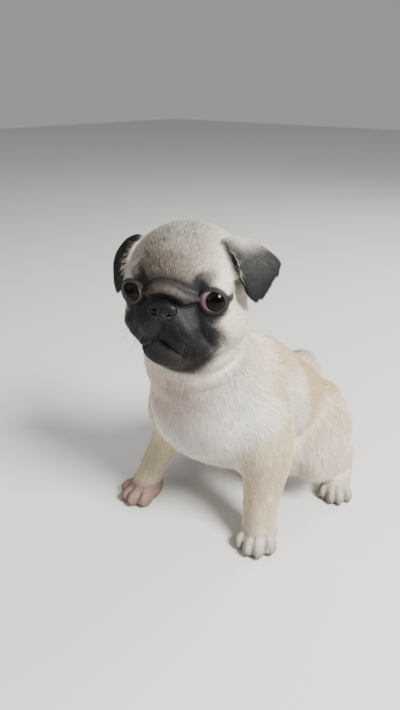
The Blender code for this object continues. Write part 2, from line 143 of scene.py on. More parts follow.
def curveThrough(points, steps=8):
    # a smooth line through all the points
    points = np.array(points, float)
    padded = np.vstack([2 * points[0] - points[1], points, 2 * points[-1] - points[-2]])
    out = []
    for i in range(len(points) - 1):
        a, b, c, d = padded[i : i + 4]
        for t in np.arange(steps) / steps:
            bend = (2 * a - 5 * b + 4 * c - d) * t**2 + (3 * b - a - 3 * c + d) * t**3
            out.append(0.5 * (2 * b + (c - a) * t + bend))
    out.append(points[-1])
    return np.array(out)


def lineDistance(points, line):
    # how far each point is from a line, on which side of it, and how far along it from 0 to 1
    best = np.full(len(points), np.inf)
    side = np.zeros(len(points))
    along = np.zeros(len(points))
    for i, (a, b) in enumerate(zip(line, line[1:])):
        step = b - a
        share = np.clip((points - a) @ step / max(step @ step, 1e-12), 0, 1)
        away = points - a - share[:, None] * step
        gap = np.linalg.norm(away, axis=1)
        closer = gap < best
        best = np.where(closer, gap, best)
        cross = step[0] * (points[:, 1] - a[1]) - step[1] * (points[:, 0] - a[0])
        side = np.where(closer, np.sign(cross), side)
        along = np.where(closer, (i + share) / (len(line) - 1), along)
    return best, side, along


# The head's own frame, found from the eyes: x to its left, -y forward, z up, in millimetres

headLook = {
    "eyesBefore": (0, -20.5, 6.4),  # middle of the eyes from the middle of the head
    "muzzleLean": math.radians(12),  # the muzzle hangs a little to the right
}


def middleOf(name):
    low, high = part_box(name)
    return (Vector(low) + Vector(high)) / 2


def findHeadFrame():
    left, right = middleOf("eye_left"), middleOf("eye_right")
    across = (left - right).normalized()
    back = Vector((0, 0, 1)).cross(across).normalized()
    turn = Matrix((across, back, across.cross(back))).transposed()
    origin = (left + right) / 2 - turn @ Vector(headLook["eyesBefore"]) * mm
    return Matrix.Translation(origin) @ turn.to_4x4()


headFrame = findHeadFrame()
muzzleFrame = headFrame @ Matrix.Rotation(headLook["muzzleLean"], 4, "Y")
headMiddle = np.array(headFrame.translation)


def into(frameMatrix, points):
    inverse = np.array(frameMatrix.inverted())
    return (points @ inverse[:3, :3].T + inverse[:3, 3]) / mm


def outOf(frameMatrix, points):
    matrix = np.array(frameMatrix)
    return (np.asarray(points, float) * mm) @ matrix[:3, :3].T + matrix[:3, 3]


def turned(frameMatrix, vectors):
    return np.asarray(vectors, float) @ np.array(frameMatrix)[:3, :3].T


# Camera at the photo's place: about 0.35 m from the head, looking down on the puppy

cameraLook = {
    "place": (208.1, -285.0, 300.0),
    "down": 26.5,  # degrees, as the turn
    "turn": 42.0,
    "lens": 27.38,
    "sensor": 36.0,
}


def makeCamera():
    data = bpy.data.cameras.new("camera")
    data.lens = cameraLook["lens"]
    data.sensor_width = cameraLook["sensor"]
    camera = newObject("camera", data)
    camera.location = Vector(cameraLook["place"]) * mm
    camera.rotation_euler = (math.radians(90 - cameraLook["down"]), 0, math.radians(cameraLook["turn"]))
    bpy.context.scene.camera = camera


makeCamera()
print("camera set")

# Skin: the solids of flesh fused into one surface, then pressed in by the coat's depth

skinLook = {
    "voxel": 1.75,  # grain of the fused surface, mm
    "swell": 0.5,  # closes the clearance between the solids, mm
    "shrink": 0.4,  # of the nose and eyes, which lie inside the flesh, mm
    "smoothRounds": 5,
    "faceReach": 46,  # the finer mesh of the face ends this far from its middle, mm
    "faceMiddle": (0, -20, 0),
    "joinRounds": 16,  # of smoothing where limbs and tail meet the trunk
    "withersReach": 50,  # rounds that widen the band where neck and trunk meet
    "withersRounds": 60,
    "fit": 0.85,  # how closely paws and ears follow their solids
}
fleshNodes = [name for name in nodes if not name.startswith(("eye_", "nose"))]
pawNodes = [name for name in nodes if "paw" in name]
earNodes = ["ear_left", "ear_right"]


def mergedCopy(name, swell=0.0):
    form = bmesh.new()
    form.from_mesh(nodes[name].data)
    bmesh.ops.remove_doubles(form, verts=form.verts, dist=1e-6)
    form.normal_update()
    for vertex in form.verts:
        vertex.co += vertex.normal * swell * mm
    mesh = bpy.data.meshes.new(name)
    form.to_mesh(mesh)
    form.free()
    return mesh


def fuseFlesh():
    form = bmesh.new()
    for name in fleshNodes + ["nose", "eye_left", "eye_right"]:
        mesh = mergedCopy(name, skinLook["swell"] if name in fleshNodes else -skinLook["shrink"])
        form.from_mesh(mesh)
        bpy.data.meshes.remove(mesh)
    mesh = bpy.data.meshes.new("skin")
    form.to_mesh(mesh)
    form.free()
    obj = newObject("skin", mesh)
    remesh = obj.modifiers.new("fuse", "REMESH")
    remesh.mode = "VOXEL"
    remesh.voxel_size = skinLook["voxel"] * mm
    return keepLargest(evaluated(obj))


def keepLargest(obj):
    # deletes all but the largest connected part
    edges = readEdges(obj.data)
    label = np.arange(len(obj.data.vertices))
    while True:
        low = np.minimum(label[edges[:, 0]], label[edges[:, 1]])
        fresh = label.copy()
        np.minimum.at(fresh, edges[:, 0], low)
        np.minimum.at(fresh, edges[:, 1], low)
        fresh = fresh[fresh]
        if (fresh == label).all():
            break
        label = fresh
    names, counts = np.unique(label, return_counts=True)
    form = bmesh.new()
    form.from_mesh(obj.data)
    form.verts.ensure_lookup_table()
    scraps = [form.verts[i] for i in np.flatnonzero(label != names[counts.argmax()])]
    bmesh.ops.delete(form, geom=scraps, context="VERTS")
    form.to_mesh(obj.data)
    form.free()
    return obj


def refine(obj, chosen):
    # splits the edges between the chosen points
    form = bmesh.new()
    form.from_mesh(obj.data)
    wanted = set(np.flatnonzero(chosen).tolist())
    edges = [e for e in form.edges if e.verts[0].index in wanted and e.verts[1].index in wanted]
    bmesh.ops.subdivide_edges(form, edges=edges, cuts=1, use_grid_fill=True)
    form.to_mesh(obj.data)
    form.free()


def smoothMesh(obj, rounds, weight=1.0):
    edges = readEdges(obj.data)
    points = readPoints(obj.data)
    weight = np.broadcast_to(weight, len(points))[:, None] * 0.5
    for _ in range(rounds):
        points = points + weight * (neighbourMean(points, edges) - points)
    writePoints(obj.data, points)


def boxZone(points, names, margin=2.0):
    # the points in the boxes of the named solids
    chosen = np.zeros(len(points), bool)
    for name in names:
        low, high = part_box(name)
        over = (points > np.array(low) - margin * mm).all(axis=1)
        chosen |= over & (points < np.array(high) + margin * mm).all(axis=1)
    return chosen


def surfaceTree(names):
    # one search tree over the named solids, with the name of the solid for each face
    verts, faces, owner, start = [], [], [], 0
    for name in names:
        mesh = nodes[name].data
        verts += [tuple(v.co) for v in mesh.vertices]
        faces += [[i + start for i in p.vertices] for p in mesh.polygons]
        owner += [names.index(name)] * len(mesh.polygons)
        start += len(mesh.vertices)
    return BVHTree.FromPolygons(verts, faces), np.array(owner)


def nearestSolid(points, names):
    tree, owner = surfaceTree(names)
    found = [tree.find_nearest(p) for p in points.tolist()]
    place = np.array([tuple(f[0]) for f in found])
    facing = np.array([tuple(f[1]) for f in found])
    return owner[np.array([f[2] for f in found])], place, facing


skin = fuseFlesh()
smoothMesh(skin, skinLook["smoothRounds"])
print("flesh fused:", len(skin.data.polygons), "faces")
points = readPoints(skin.data)
local = into(headFrame, points)
nearFace = np.linalg.norm(local - skinLook["faceMiddle"], axis=1) < skinLook["faceReach"]
nearFace &= local[:, 1] < -4
refine(skin, nearFace | boxZone(points, pawNodes) & (points[:, 2] > 1.5 * mm) | boxZone(points, earNodes))
smoothMesh(skin, 2)
points = readPoints(skin.data)
fine = boxZone(points, pawNodes + earNodes)
owner, place, facing = nearestSolid(points[fine], fleshNodes)
points[fine] += skinLook["fit"] * (place + facing * skinLook["swell"] * mm - points[fine])
writePoints(skin.data, points)
smoothMesh(skin, 1)


# The eyes' own frames: -y is the way each eye looks

eyeLook = {
    "radius": 8.7,
    "outward": math.radians(20),
    "openingTurn": math.radians(-13),  # the lids open a little toward the nose
    "halfWidth": 6.7,  # of the opening between the lids
    "halfUpper": 6.0,
    "halfLower": 5.1,
    "roundness": 2.0,
    "lidTuck": 1.6,  # how far the skin draws back behind the eyeball inside the opening
    "lidRise": 1.75,  # from there up to the lids' rim
    "lidLift": 0.6,  # how far the rim stands off the eyeball
    "lidFall": 0.3,  # how far the lids sink again beyond the rim
    "lidHold": (1.6, 5.0),  # beyond the first distance the lids pass into the skin, up to the second
    "lidDepth": (6, 9),  # skin further inside or outside the eyeball's surface is left alone
    "cover": 0.5,  # the least thickness of the skin over the eyeball outside the opening
    "gaze": {1: (6, 7), -1: (14, 7)},  # turned to the puppy's left and up from each eye's front, degrees
    "ball": 8.55,
    "cornea": (5.9, 0.75),  # radius of its edge and its bulge, mm
}


def eyeFrame(side):
    name = "eye_left" if side > 0 else "eye_right"
    turn = headFrame.to_3x3() @ Matrix.Rotation(side * eyeLook["outward"], 3, "Z")
    return Matrix.Translation(middleOf(name)) @ turn.to_4x4()


def openingDistance(local, side):
    # how far outside the lids' edge a direction lies, in mm along the eyeball,
    # and how far the point is from the eyeball's middle
    away = np.linalg.norm(local, axis=1)
    local = local @ np.array(Matrix.Rotation(side * eyeLook["openingTurn"], 3, "Z"))
    turnedAway = np.arccos(np.clip(-local[:, 1] / away, -1, 1))
    spread = np.maximum(np.hypot(local[:, 0], local[:, 2]), 1e-6)
    across = local[:, 0] * side / spread
    up = local[:, 2] / spread
    half = np.where(up > 0, eyeLook["halfUpper"], eyeLook["halfLower"])
    power = eyeLook["roundness"]
    rim = (np.abs(across / eyeLook["halfWidth"]) ** power + np.abs(up / half) ** power) ** (-1 / power)
    return (turnedAway - np.arcsin(np.clip(rim / eyeLook["radius"], 0, 0.98))) * eyeLook["radius"], away


def fineZone(points):
    chosen = np.zeros(len(points), bool)
    for side in (1, -1):
        local = into(eyeFrame(side), points)
        outside, away = openingDistance(local, side)
        chosen |= (np.abs(outside - 0.5) < 2.6) & (np.abs(away - eyeLook["radius"] - 1) < 3.5)
    local = into(headFrame, points)
    across = local[:, [0, 2]]
    for name, width in (("mouth", 1.6), ("underRoll", 1.6), ("philtrum", 1.4)):
        near = lineDistance(across, curveThrough(faceLines[name]))[0] < width
        chosen |= near & (local[:, 1] < -18)
    return chosen


# Lines of the face as x and z in the head's frame, in millimetres, from the puppy's right to its left
faceLines = {
    "mouth": [
        (-24, -27), (-17, -23.5), (-12, -20), (-7.3, -18), (-3, -18.6), (1.4, -20.8),
        (4.7, -24), (8.5, -27.2), (14, -28.3), (20.4, -26), (26, -21),
    ],
    "philtrum": [(-1.2, -4.5), (-3.6, -10), (-6.8, -17)],
    "underRoll": [
        (-23, -17), (-19, -10), (-16, -5), (-14.5, -0.5), (-12, 4.0), (-8, 7.8), (-2.2, 9.2), (3, 8.2),
        (7.6, 5.3), (10.6, 1.2), (13.4, -3), (17, -7), (18.6, -11), (21, -15.5), (24, -19),
    ],
    "roll": [
        (-20, -6), (-17, 1), (-15.3, 5), (-12.5, 9.6), (-8.5, 12.4), (-2.4, 13.8),
        (3.4, 13.1), (8, 10.5), (11.6, 6.8), (14.2, 2), (17.5, -3), (21, -8),
    ],
    "overRoll": [
        (-18.5, 7.5), (-16.4, 10.3), (-13.8, 13.5), (-9, 16.3), (-3, 17.9),
        (3.2, 17.5), (8.2, 15.2), (12, 12.2), (15, 9.5),
    ],
}
# The front edge of the ear's flap, in the head's frame, its left side
earEdge = [(26.2, -8.5, 35.1), (31.8, -10, 31), (35.8, -11.7, 23.7), (38.1, -13.3, 16.1), (39.2, -12.9, 7.6)]
# Folds of the face: line, width, depth (less than nothing stands out), how it fades toward its ends
folds = [
    (faceLines["underRoll"], 1.7, 2.0, 0.7),
    (faceLines["overRoll"], 1.3, 1.2, 0.6),
    (faceLines["roll"], 3.4, -0.9, 0.8),
    (faceLines["philtrum"], 0.8, 0.9, 0.0),
    ([(7, -5), (11, -11.5), (16.5, -17)], 0.8, 0.4, 0.8),
    ([(3.5, -8), (8, -14.5), (13.5, -20)], 0.8, 0.4, 0.8),
    ([(-8, -6), (-13, -10), (-17, -15)], 0.8, 0.35, 0.8),
    ([(-24, -40), (-12, -42.5), (0, -43.5), (12, -42.5), (24, -39), (32, -33)], 2.0, 1.4, 0.8),
]
# Folds that both sides of the face have, given for its left: beside the roll, brow, under the eye, cheek
pairedFolds = [
    ([(14.5, 10.5), (15.5, 15), (18.5, 19.5), (22, 22)], 1.9, 1.5, 0.6),
    ([(14, 27), (18, 26.2), (22, 23.4), (27, 19)], 1.3, 1.0, 0.8),
    ([(16, -2), (20.5, -5.4), (26, -6), (31, -3), (34.5, 2)], 1.2, 0.8, 0.7),
    ([(27, -11), (29.5, -17), (28.5, -24)], 1.8, 0.9, 0.9),
]
for line, width, depth, fade in pairedFolds:
    for side in (1, -1):
        folds.append(([(side * x, z) for x, z in line], width, depth, fade))
neckFolds = [
    # points in the world, mm, then width and depth
    (
        [
            (37.5, -50.3, 174), (36, -49, 168), (35, -52, 160), (33.4, -61, 154.1),
            (29, -70, 148), (16, -82, 143), (0, -88, 141),
        ],
        2.6,
        1.8,
    ),
    ([(34, -50, 152), (30, -62, 143), (22, -74, 137), (10, -82, 133), (-6, -84, 132)], 2.4, 1.2),
]
toeGroove = {
    "width": 0.9,
    "depth": 0.7,
    "places": (-0.467, 0, 0.467),  # across the paw, as shares of half its width
}
mouthLook = {"width": 0.8, "depth": 1.2, "lowerLipIn": 0.45, "upperLipOut": 0.3, "lipReach": 4.5}


def sculptFace(points, normals):
    out = points.copy()
    near = np.flatnonzero(np.linalg.norm(points - headMiddle, axis=1) < 75 * mm)
    out[near] = foldFace(points[near], normals[near])
    return out


def foldFace(points, normals):
    # presses the folds and the mouth's line in, and lets the upper lip stand over the lower
    local = into(headFrame, points)
    facing = -turned(headFrame.inverted(), normals)[:, 1]
    front = ramp(-local[:, 1], 4, 13) * np.clip(facing * 3 + 0.4, 0, 1)
    across = local[:, [0, 2]]
    shift = np.zeros(len(points))
    for line, width, depth, fade in folds:
        away, _, along = lineDistance(across, curveThrough(line))
        keep = 1 - fade * (2 * np.abs(along - 0.5)) ** 3
        shift -= depth * keep * np.exp(-((away / width) ** 2))
    away, side, along = lineDistance(across, curveThrough(faceLines["mouth"]))
    ends = ramp(along, 0.0, 0.12) * ramp(1 - along, 0.0, 0.12)
    shift -= mouthLook["depth"] * np.exp(-((away / mouthLook["width"]) ** 2)) * (0.4 + 0.6 * ends)
    near = np.exp(-((away / mouthLook["lipReach"]) ** 2)) * ends
    shift -= mouthLook["lowerLipIn"] * near * (side < 0)
    shift += mouthLook["upperLipOut"] * near * (side > 0)
    return points + normals * (shift * front * mm)[:, None]


def pawFrame(name):
    turn, _, middle = pawLook[name]
    return Matrix.Translation(Vector((*middle, 0)) * mm) @ Matrix.Rotation(turn, 4, "Z")


def grooveBetweenToes(points):
    # 1 in the cleft between two toes, falling to 0 beside it
    out = np.zeros(len(points))
    for name, (_, half, _) in pawLook.items():
        local = into(pawFrame(name), points)
        near = (np.linalg.norm(local[:, :2], axis=1) < 1.7 * half) & (local[:, 2] < half)
        fade = ramp(-local[:, 1] / half, 0.4, 0.85) * near
        for place in toeGroove["places"]:
            away = np.abs(local[:, 0] - place * half * (1 - 0.25 * local[:, 1] / half))
            out = np.maximum(out, fade * np.exp(-((away / toeGroove["width"]) ** 2)))
    return out


def sculptFolds(points, normals):
    shift = -toeGroove["depth"] * grooveBetweenToes(points) * ramp(points[:, 2], 0.5 * mm, 3 * mm)
    for line, width, depth in neckFolds:
        away, _, along = lineDistance(points / mm, curveThrough(line))
        shift -= depth * np.exp(-((away / width) ** 2)) * (1 - 0.6 * (2 * np.abs(along - 0.5)) ** 3)
    return points + normals * (shift * mm)[:, None]


def sculptEyes(points):
    # skin draws back behind the eyeball inside the opening and stands over it as lids around it
    for side in (1, -1):
        frameMatrix = eyeFrame(side)
        local = into(frameMatrix, points)
        outside, away = openingDistance(local, side)
        radius = eyeLook["radius"]
        lid = radius - eyeLook["lidTuck"] + eyeLook["lidRise"] * ramp(outside, -0.6, 0.15)
        lid = lid + eyeLook["lidLift"] * ramp(outside, -0.1, 0.8)
        lid = lid - eyeLook["lidFall"] * ramp(outside, 0.9, 2.4)
        inner, outer = eyeLook["lidDepth"]
        hold = 1 - ramp(outside, *eyeLook["lidHold"])
        hold = hold * (away < radius + outer) * (away > radius - inner)
        wanted = away + hold * (lid - away)
        covering = (outside > 0.2) & (away > radius - inner + 1)
        wanted = np.where(covering, np.maximum(wanted, radius + eyeLook["cover"]), wanted)
        local = local * (wanted / np.maximum(away, 1e-6))[:, None]
        moved = outOf(frameMatrix, local)
        points = np.where((np.abs(wanted - away) > 1e-4)[:, None], moved, points)
    return points


# Where the bed acts, how far it lies behind the leather and its longest move, in mm
noseBed = {"reach": 14, "gap": 0.1, "most": 2.5}


def sculptNoseBed(points):
    # the skin passes behind the nose leather and closes round its edge
    tree, _ = surfaceTree(["nose"])
    low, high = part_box("nose")
    middle = (np.array(low) + np.array(high)) / 2
    inward = np.array(headFrame.to_3x3() @ Vector((0, 1, 0)))
    gap, most = noseBed["gap"] * mm, noseBed["most"] * mm
    out = points.copy()
    for i in np.flatnonzero(np.linalg.norm(points - middle, axis=1) < noseBed["reach"] * mm):
        place, facing, _, away = tree.find_nearest(points[i])
        inside = (Vector(points[i]) - place).dot(facing) < 0
        signed = -away if inside else away
        if signed < gap:
            out[i] += inward * min(gap - signed, most)
    return out


refine(skin, fineZone(readPoints(skin.data)))
smoothMesh(skin, 1)
print("face, paws and ears refined:", len(skin.data.polygons), "faces")

# Coat depth, length and lie for every point of the skin

coatLook = {
    # solid: length of hair, how deep the coat is, both mm
    "head": (3.6, 0.9),
    "lower_jaw": (2.2, 0.6),
    "ear": (2.7, 0.4),
    "neck": (7.5, 1.6),
    "torso": (8.5, 1.8),
    "tail": (7.0, 1.3),
    "foreleg": (6.0, 1.2),
    "hindleg": (7.0, 1.5),
    "forepaw": (2.4, 0.4),
    "hindpaw": (2.4, 0.4),
}
# Share of its length that the coat loses on the face, at the lids, at the nose and in the neck's folds
shorterCoat = {"face": 0.42, "lids": 0.65, "nose": 0.65, "neckFolds": 0.5}
pawLook = {
    # paw: turn to the left, half its width, its middle on the floor in mm
    "forepaw_left": (math.radians(24), 15.0, (41.7, -36.7)),
    "forepaw_right": (math.radians(-4), 15.0, (-57.0, -57.2)),
    "hindpaw_left": (math.radians(30), 13.2, (57.0, 48.3)),
    "hindpaw_right": (math.radians(-30), 13.2, (-57.0, 48.3)),
}
tailCurl = {"middle": (-6, 80, 74)}  # mm


def kindOf(name):
    # the coat's kind on a solid
    return name if name in coatLook else name.split("_")[0]


owner, _, _ = nearestSolid(readPoints(skin.data), fleshNodes)
edges = readEdges(skin.data)
share = np.zeros((len(owner), len(fleshNodes)))
share[np.arange(len(owner)), owner] = 1
share = eased(share, edges, 14, 0.7)


def blendOf(table):
    # a value given for each solid, blended over the skin
    return share @ np.array([table(name) for name in fleshNodes], float)


def nodeShare(*prefixes):
    # how much each point of the skin belongs to the solids with these names
    return share[:, [i for i, n in enumerate(fleshNodes) if n.startswith(prefixes)]].sum(axis=1)


# the skin runs smoothly over where limbs, tail and neck meet the trunk
trunk = nodeShare("torso", "neck")
joins = 4 * trunk * nodeShare("foreleg", "hindleg", "tail")
smoothMesh(skin, skinLook["joinRounds"], np.clip(joins * 1.3, 0, 1))
withers = eased(4 * nodeShare("torso") * nodeShare("neck", "head"), edges, skinLook["withersReach"])
smoothMesh(skin, skinLook["withersRounds"], np.clip(withers * 4, 0, 1))
points = readPoints(skin.data)
normals = unit(eased(readNormals(skin.data), edges, 3))
local = into(headFrame, points)
faceness = nodeShare("head", "lower_jaw") * ramp(-local[:, 1], 0, 20)
depth = blendOf(lambda name: coatLook[kindOf(name)][1]) * (1 - 0.5 * faceness)
depth = depth * ramp(points[:, 2], 0.0, 4 * mm)
earPart = ramp(nodeShare("ear"), 0.5, 0.9)
points = points - normals * (((skinLook["swell"] + depth) * (1 - 0.35 * earPart)) * mm)[:, None]
sole = points[:, 2] < 1.2 * mm
points[sole, 2] = np.minimum(points[sole, 2], 0.05 * mm)
points[:, 2] = np.maximum(points[:, 2], 0)
writePoints(skin.data, points)
points = sculptFolds(points, normals)
points = sculptFace(points, normals)
points = sculptEyes(points)
points = sculptNoseBed(points)
writePoints(skin.data, points)
shadeSmooth(skin.data)
print("skin sculpted")

# Markings and the coat's lie, worked out for every point of the skin

markLook = {
    "chest": "#F3EDE4",
    "cream": "#EFE2CE",
    "fawn": "#CFAF83",
    "foreleg": "#E9D3AE",
    "throat": "#DDBDB1",
    "cheek": "#E8DECC",
    "forehead": "#7F7160",
    "crown": "#C4BFB2",
    "streak": "#3D3934",
    "mask": "#1B1A1C",
    # painted sheen: bluish grey on the tips of the mask's hair
    "maskSheen": "#232227",
    "maskBrown": "#1F1918",
    # painted highlight along the top of the nose roll
    "roll": "#6A6257",
    # painted shade in the creases under and over the nose roll and along the mouth's line
    "creaseShadeColour": "#1E1210",
    "ear": "#0F1519",
    "earMiddle": "#33302A",
    "earEdge": "#1E1C1C",
    # painted shade on the paws, growing toward the floor
    "toe": "#918A83",
    # pinkish skin through thin hair, darkened as painted shade, on the shaded right forepaw
    "toePink": "#96695A",
    # painted shade in the clefts between the toes
    "cleftShadeColour": "#5E5450",
    "lid": "#231D21",
}
colours = {name: np.array(toLinear(text)[:3]) for name, text in markLook.items()}
# Round marks of the head seen from its front: middle and half size as x and z in mm, softness of the edge
markPlaces = {
    "brow": ((-1, 25), (22, 23), 0.5),
    "lowBrow": ((-1, 24), (15, 12), 0.6),
    "crown": ((-2, 46), (25, 13), 0.6),
    "muzzle": ((-1.5, -13), (30, 19), 0.16),
    "lips": ((-1, -24), (25, 14), 0.16),
    "bridge": ((0, 3), (21, 16), 0.22),
    "chin": ((2, -33), (16, 9), 0.4),
    "earMiddle": ((43, 27), (8, 12), 0.6),
}
# The same on both sides, given for the left: the outer corner of the eye and the smudges over and inside it
pairedMarks = {
    "corner": ((33.0, 8.0), (3.4, 2.2), 0.5),
    "smudge": ((19.0, 17.5), (6.0, 4.6), 0.5),
    "rollSide": ((15.0, 10.0), (4, 7), 0.5),
}


def mixed(under, over, share):
    share = np.clip(np.asarray(share, float), 0, 1)[:, None]
    return under * (1 - share) + over * share


def spot(across, middle, half, soft=0.35):
    # 1 inside an ellipse, falling to 0 over its soft edge
    reach = np.linalg.norm((across - middle) / half, axis=1)
    return 1 - ramp(reach, 1 - soft, 1 + soft)


def lieOfCoat(points, normals):
    # the way the hair lies: back from the nose, down the neck, back along the trunk, down the limbs
    fromNose = unit(points - outOf(headFrame, np.array([(-1, -40, 2)])))
    fromHead = unit(unit(points - headMiddle) + (0, 0.2, -0.7))
    aroundTail = unit(np.cross((1.0, 0, 0), points / mm - np.array(tailCurl["middle"])))
    lies = {
        "head": fromNose,
        "lower_jaw": fromNose,
        "neck": fromHead,
        "torso": unit(np.array([0.0, 0.8, -0.6])),
        "tail": aroundTail,
        "foreleg": unit(np.array([0.0, 0.25, -1.0])),
        "hindleg": unit(np.array([0.0, 0.25, -1.0])),
    }
    lie = np.zeros_like(points)
    for i, name in enumerate(fleshNodes):
        if name in earNodes:
            field = earLie(name)
        elif name in pawLook:
            turn = pawLook[name][0]
            field = unit(np.array([math.sin(turn), -math.cos(turn), -0.5]))
        else:
            field = lies[kindOf(name)]
        lie += share[:, i : i + 1] * field
    lie = eased(lie, edges, 4)
    lie -= normals * (lie * normals).sum(axis=1)[:, None]
    return unit(lie)


def earLie(name):
    # from the ear's root to its tip
    local = into(headFrame, readPoints(nodes[name].data))
    top = local[local[:, 2] > np.quantile(local[:, 2], 0.8)].mean(axis=0)
    tip = local[local[:, 2] < np.quantile(local[:, 2], 0.1)].mean(axis=0)
    return unit(turned(headFrame, tip - top))


def markings(points, normals):
    # the light colour, the dark colour of the mixed-in hairs, the dark hairs' share,
    # the painted shade in the creases of the face and how strongly the coat is streaked
    world = points / mm
    local = into(headFrame, points)
    across = local[:, [0, 2]]
    head = nodeShare("head", "lower_jaw")
    ears = ramp(nodeShare("ear"), 0.4, 0.75)
    front = ramp(-local[:, 1], 2, 16)
    light = np.tile(colours["cream"], (len(points), 1))
    dark = np.tile(colours["streak"], (len(points), 1))
    darkShare = np.full(len(points), 0.02)

    torso = nodeShare("torso")
    flank = nodeShare("torso", "hindleg") * ramp(world[:, 1], 10, 24) * (1 - 0.5 * nodeShare("hindleg"))
    flank = flank * (0.35 + 0.65 * ramp(world[:, 2], 45, 80))
    light = mixed(light, colours["fawn"], 0.85 * flank)
    spine = torso * ramp(normals[:, 2], 0.35, 0.8) * ramp(world[:, 1], -38, 0)
    light = mixed(light, colours["fawn"], 0.8 * spine)
    sides = np.abs(normals[:, 0])
    shoulder = nodeShare("torso", "foreleg") * ramp(sides, 0.3, 0.75)
    shoulder = shoulder * np.exp(-(((world[:, 1] + 27) / 11) ** 2))
    light = mixed(light, colours["fawn"], 0.65 * shoulder * ramp(world[:, 2], 35, 60))
    light = mixed(light, colours["foreleg"], 0.8 * nodeShare("foreleg"))
    chest = nodeShare("torso", "neck") * ramp(-normals[:, 1] + 0.35 * normals[:, 0] ** 2, 0.15, 0.6)
    light = mixed(light, colours["chest"], 0.9 * chest * (1 - 0.5 * shoulder))
    throat = spot(world[:, [0, 2]], (-8, 130), (26, 24), 0.6) * ramp(-world[:, 1], 40, 60)
    throat = throat * nodeShare("neck", "torso")
    light = mixed(light, colours["throat"], 0.75 * throat)
    belly = torso * ramp(-normals[:, 2], 0.35, 0.8)
    light = mixed(light, colours["throat"], 0.55 * belly)
    nape = nodeShare("neck", "torso", "head") * ramp(normals[:, 1], 0.0, 0.7) * ramp(world[:, 2], 120, 150)
    light = mixed(light, colours["fawn"], 0.45 * nape)
    # pink skin in the neck's folds, darkened to 0.65 of the throat's colour as painted shade
    for line, width, _ in neckFolds:
        away, _, _ = lineDistance(world, curveThrough(line))
        foldShade = 0.85 * np.exp(-((away / width / 1.6) ** 2)) * nodeShare("neck", "torso")
        light = mixed(light, colours["throat"] * 0.65, foldShade)
    # painted shade: the paws turn grey and darker toward the floor
    toes = nodeShare("forepaw", "hindpaw") * ramp(21 - world[:, 2], 0, 17)
    light = mixed(light, colours["toe"], 0.75 * toes)
    # the right forepaw shows pinkish skin and painted shade
    light = mixed(light, colours["toePink"], 0.7 * nodeShare("forepaw_right"))
    # painted shade: the clefts between the toes are darker
    light = mixed(light, colours["cleftShadeColour"], 0.85 * grooveBetweenToes(points))

    light = mixed(light, colours["cheek"], head * (1 - 0.5 * nape))
    brow = spot(across, *markPlaces["brow"]) * head * ramp(20 - local[:, 1], 0, 30)
    light = mixed(light, colours["forehead"], brow * 0.9)
    darkShare = darkShare + 0.30 * brow
    darkShare = darkShare + 0.25 * head * spot(across, *markPlaces["lowBrow"])
    crown = head * spot(across, *markPlaces["crown"])
    light = mixed(light, colours["crown"], 0.8 * crown)
    darkShare = darkShare + 0.16 * crown
    darkShare = darkShare + 0.06 * head

    muzzle = np.max([spot(across, *markPlaces[name]) for name in ("muzzle", "lips", "bridge")], axis=0)
    muzzle = muzzle * front * head
    # the mask's light tufts take the painted sheen
    light = mixed(light, colours["maskSheen"], muzzle)
    dark = mixed(dark, colours["mask"], muzzle)
    darkShare = np.maximum(darkShare, 0.86 * muzzle)
    chin = spot(across, *markPlaces["chin"]) * front * head
    light = mixed(light, colours["maskBrown"], chin)
    dark = mixed(dark, colours["maskBrown"], chin)
    darkShare = np.maximum(darkShare, 0.8 * chin)
    # painted highlight: the hair along the top of the nose roll is lighter grey-brown, with fewer dark
    # hairs, where light catches it
    away, _, along = lineDistance(across, curveThrough(faceLines["roll"]))
    roll = np.exp(-((away / 3.2) ** 2)) * front * head * (1 - (2 * np.abs(along - 0.5)) ** 3)
    light = mixed(light, colours["roll"], 0.85 * roll)
    darkShare = darkShare * (1 - 0.6 * roll)
    for side in (1, -1):
        outside, _ = openingDistance(into(eyeFrame(side), points), side)
        eyeX = local[:, 0] * side
        near = np.linalg.norm(points - np.array(eyeFrame(side).translation), axis=1) / mm
        close = (near < 17) * head
        reach = 2.6 + 2.6 * ramp(24 - eyeX, 0, 8) + 1.6 * ramp(6 - local[:, 2], 0, 8)
        ring = (1 - ramp(outside / reach, 0.7, 1.35)) * close
        light = mixed(light, colours["mask"], ring)
        dark = mixed(dark, colours["mask"], ring)
        darkShare = np.maximum(darkShare, 0.92 * ring)
        mirrored = across * (side, 1)
        corner = spot(mirrored, *pairedMarks["corner"]) * head * ramp(11.2 - near, 0, 1.5)
        light = mixed(light, colours["mask"], corner)
        darkShare = np.maximum(darkShare, 0.8 * corner)
        mark = np.maximum(*(spot(mirrored, *pairedMarks[name]) for name in ("smudge", "rollSide")))
        mark = mark * head * front
        light = mixed(light, colours["mask"], 0.6 * mark)
        darkShare = np.maximum(darkShare, 0.75 * mark)
    # painted shade: coat and skin darken in the creases under and over the nose roll and along the mouth's
    # line
    creaseShade = np.zeros(len(points))
    for name, width in (("underRoll", 1.3), ("overRoll", 1.2), ("mouth", 0.9)):
        away, _, _ = lineDistance(across, curveThrough(faceLines[name]))
        creaseShade = np.maximum(creaseShade, np.exp(-((away / width) ** 2)))
    creaseShade = creaseShade * front * head
    light = mixed(light, colours["creaseShadeColour"], 0.85 * creaseShade)
    dark = mixed(dark, colours["creaseShadeColour"], 0.8 * creaseShade)

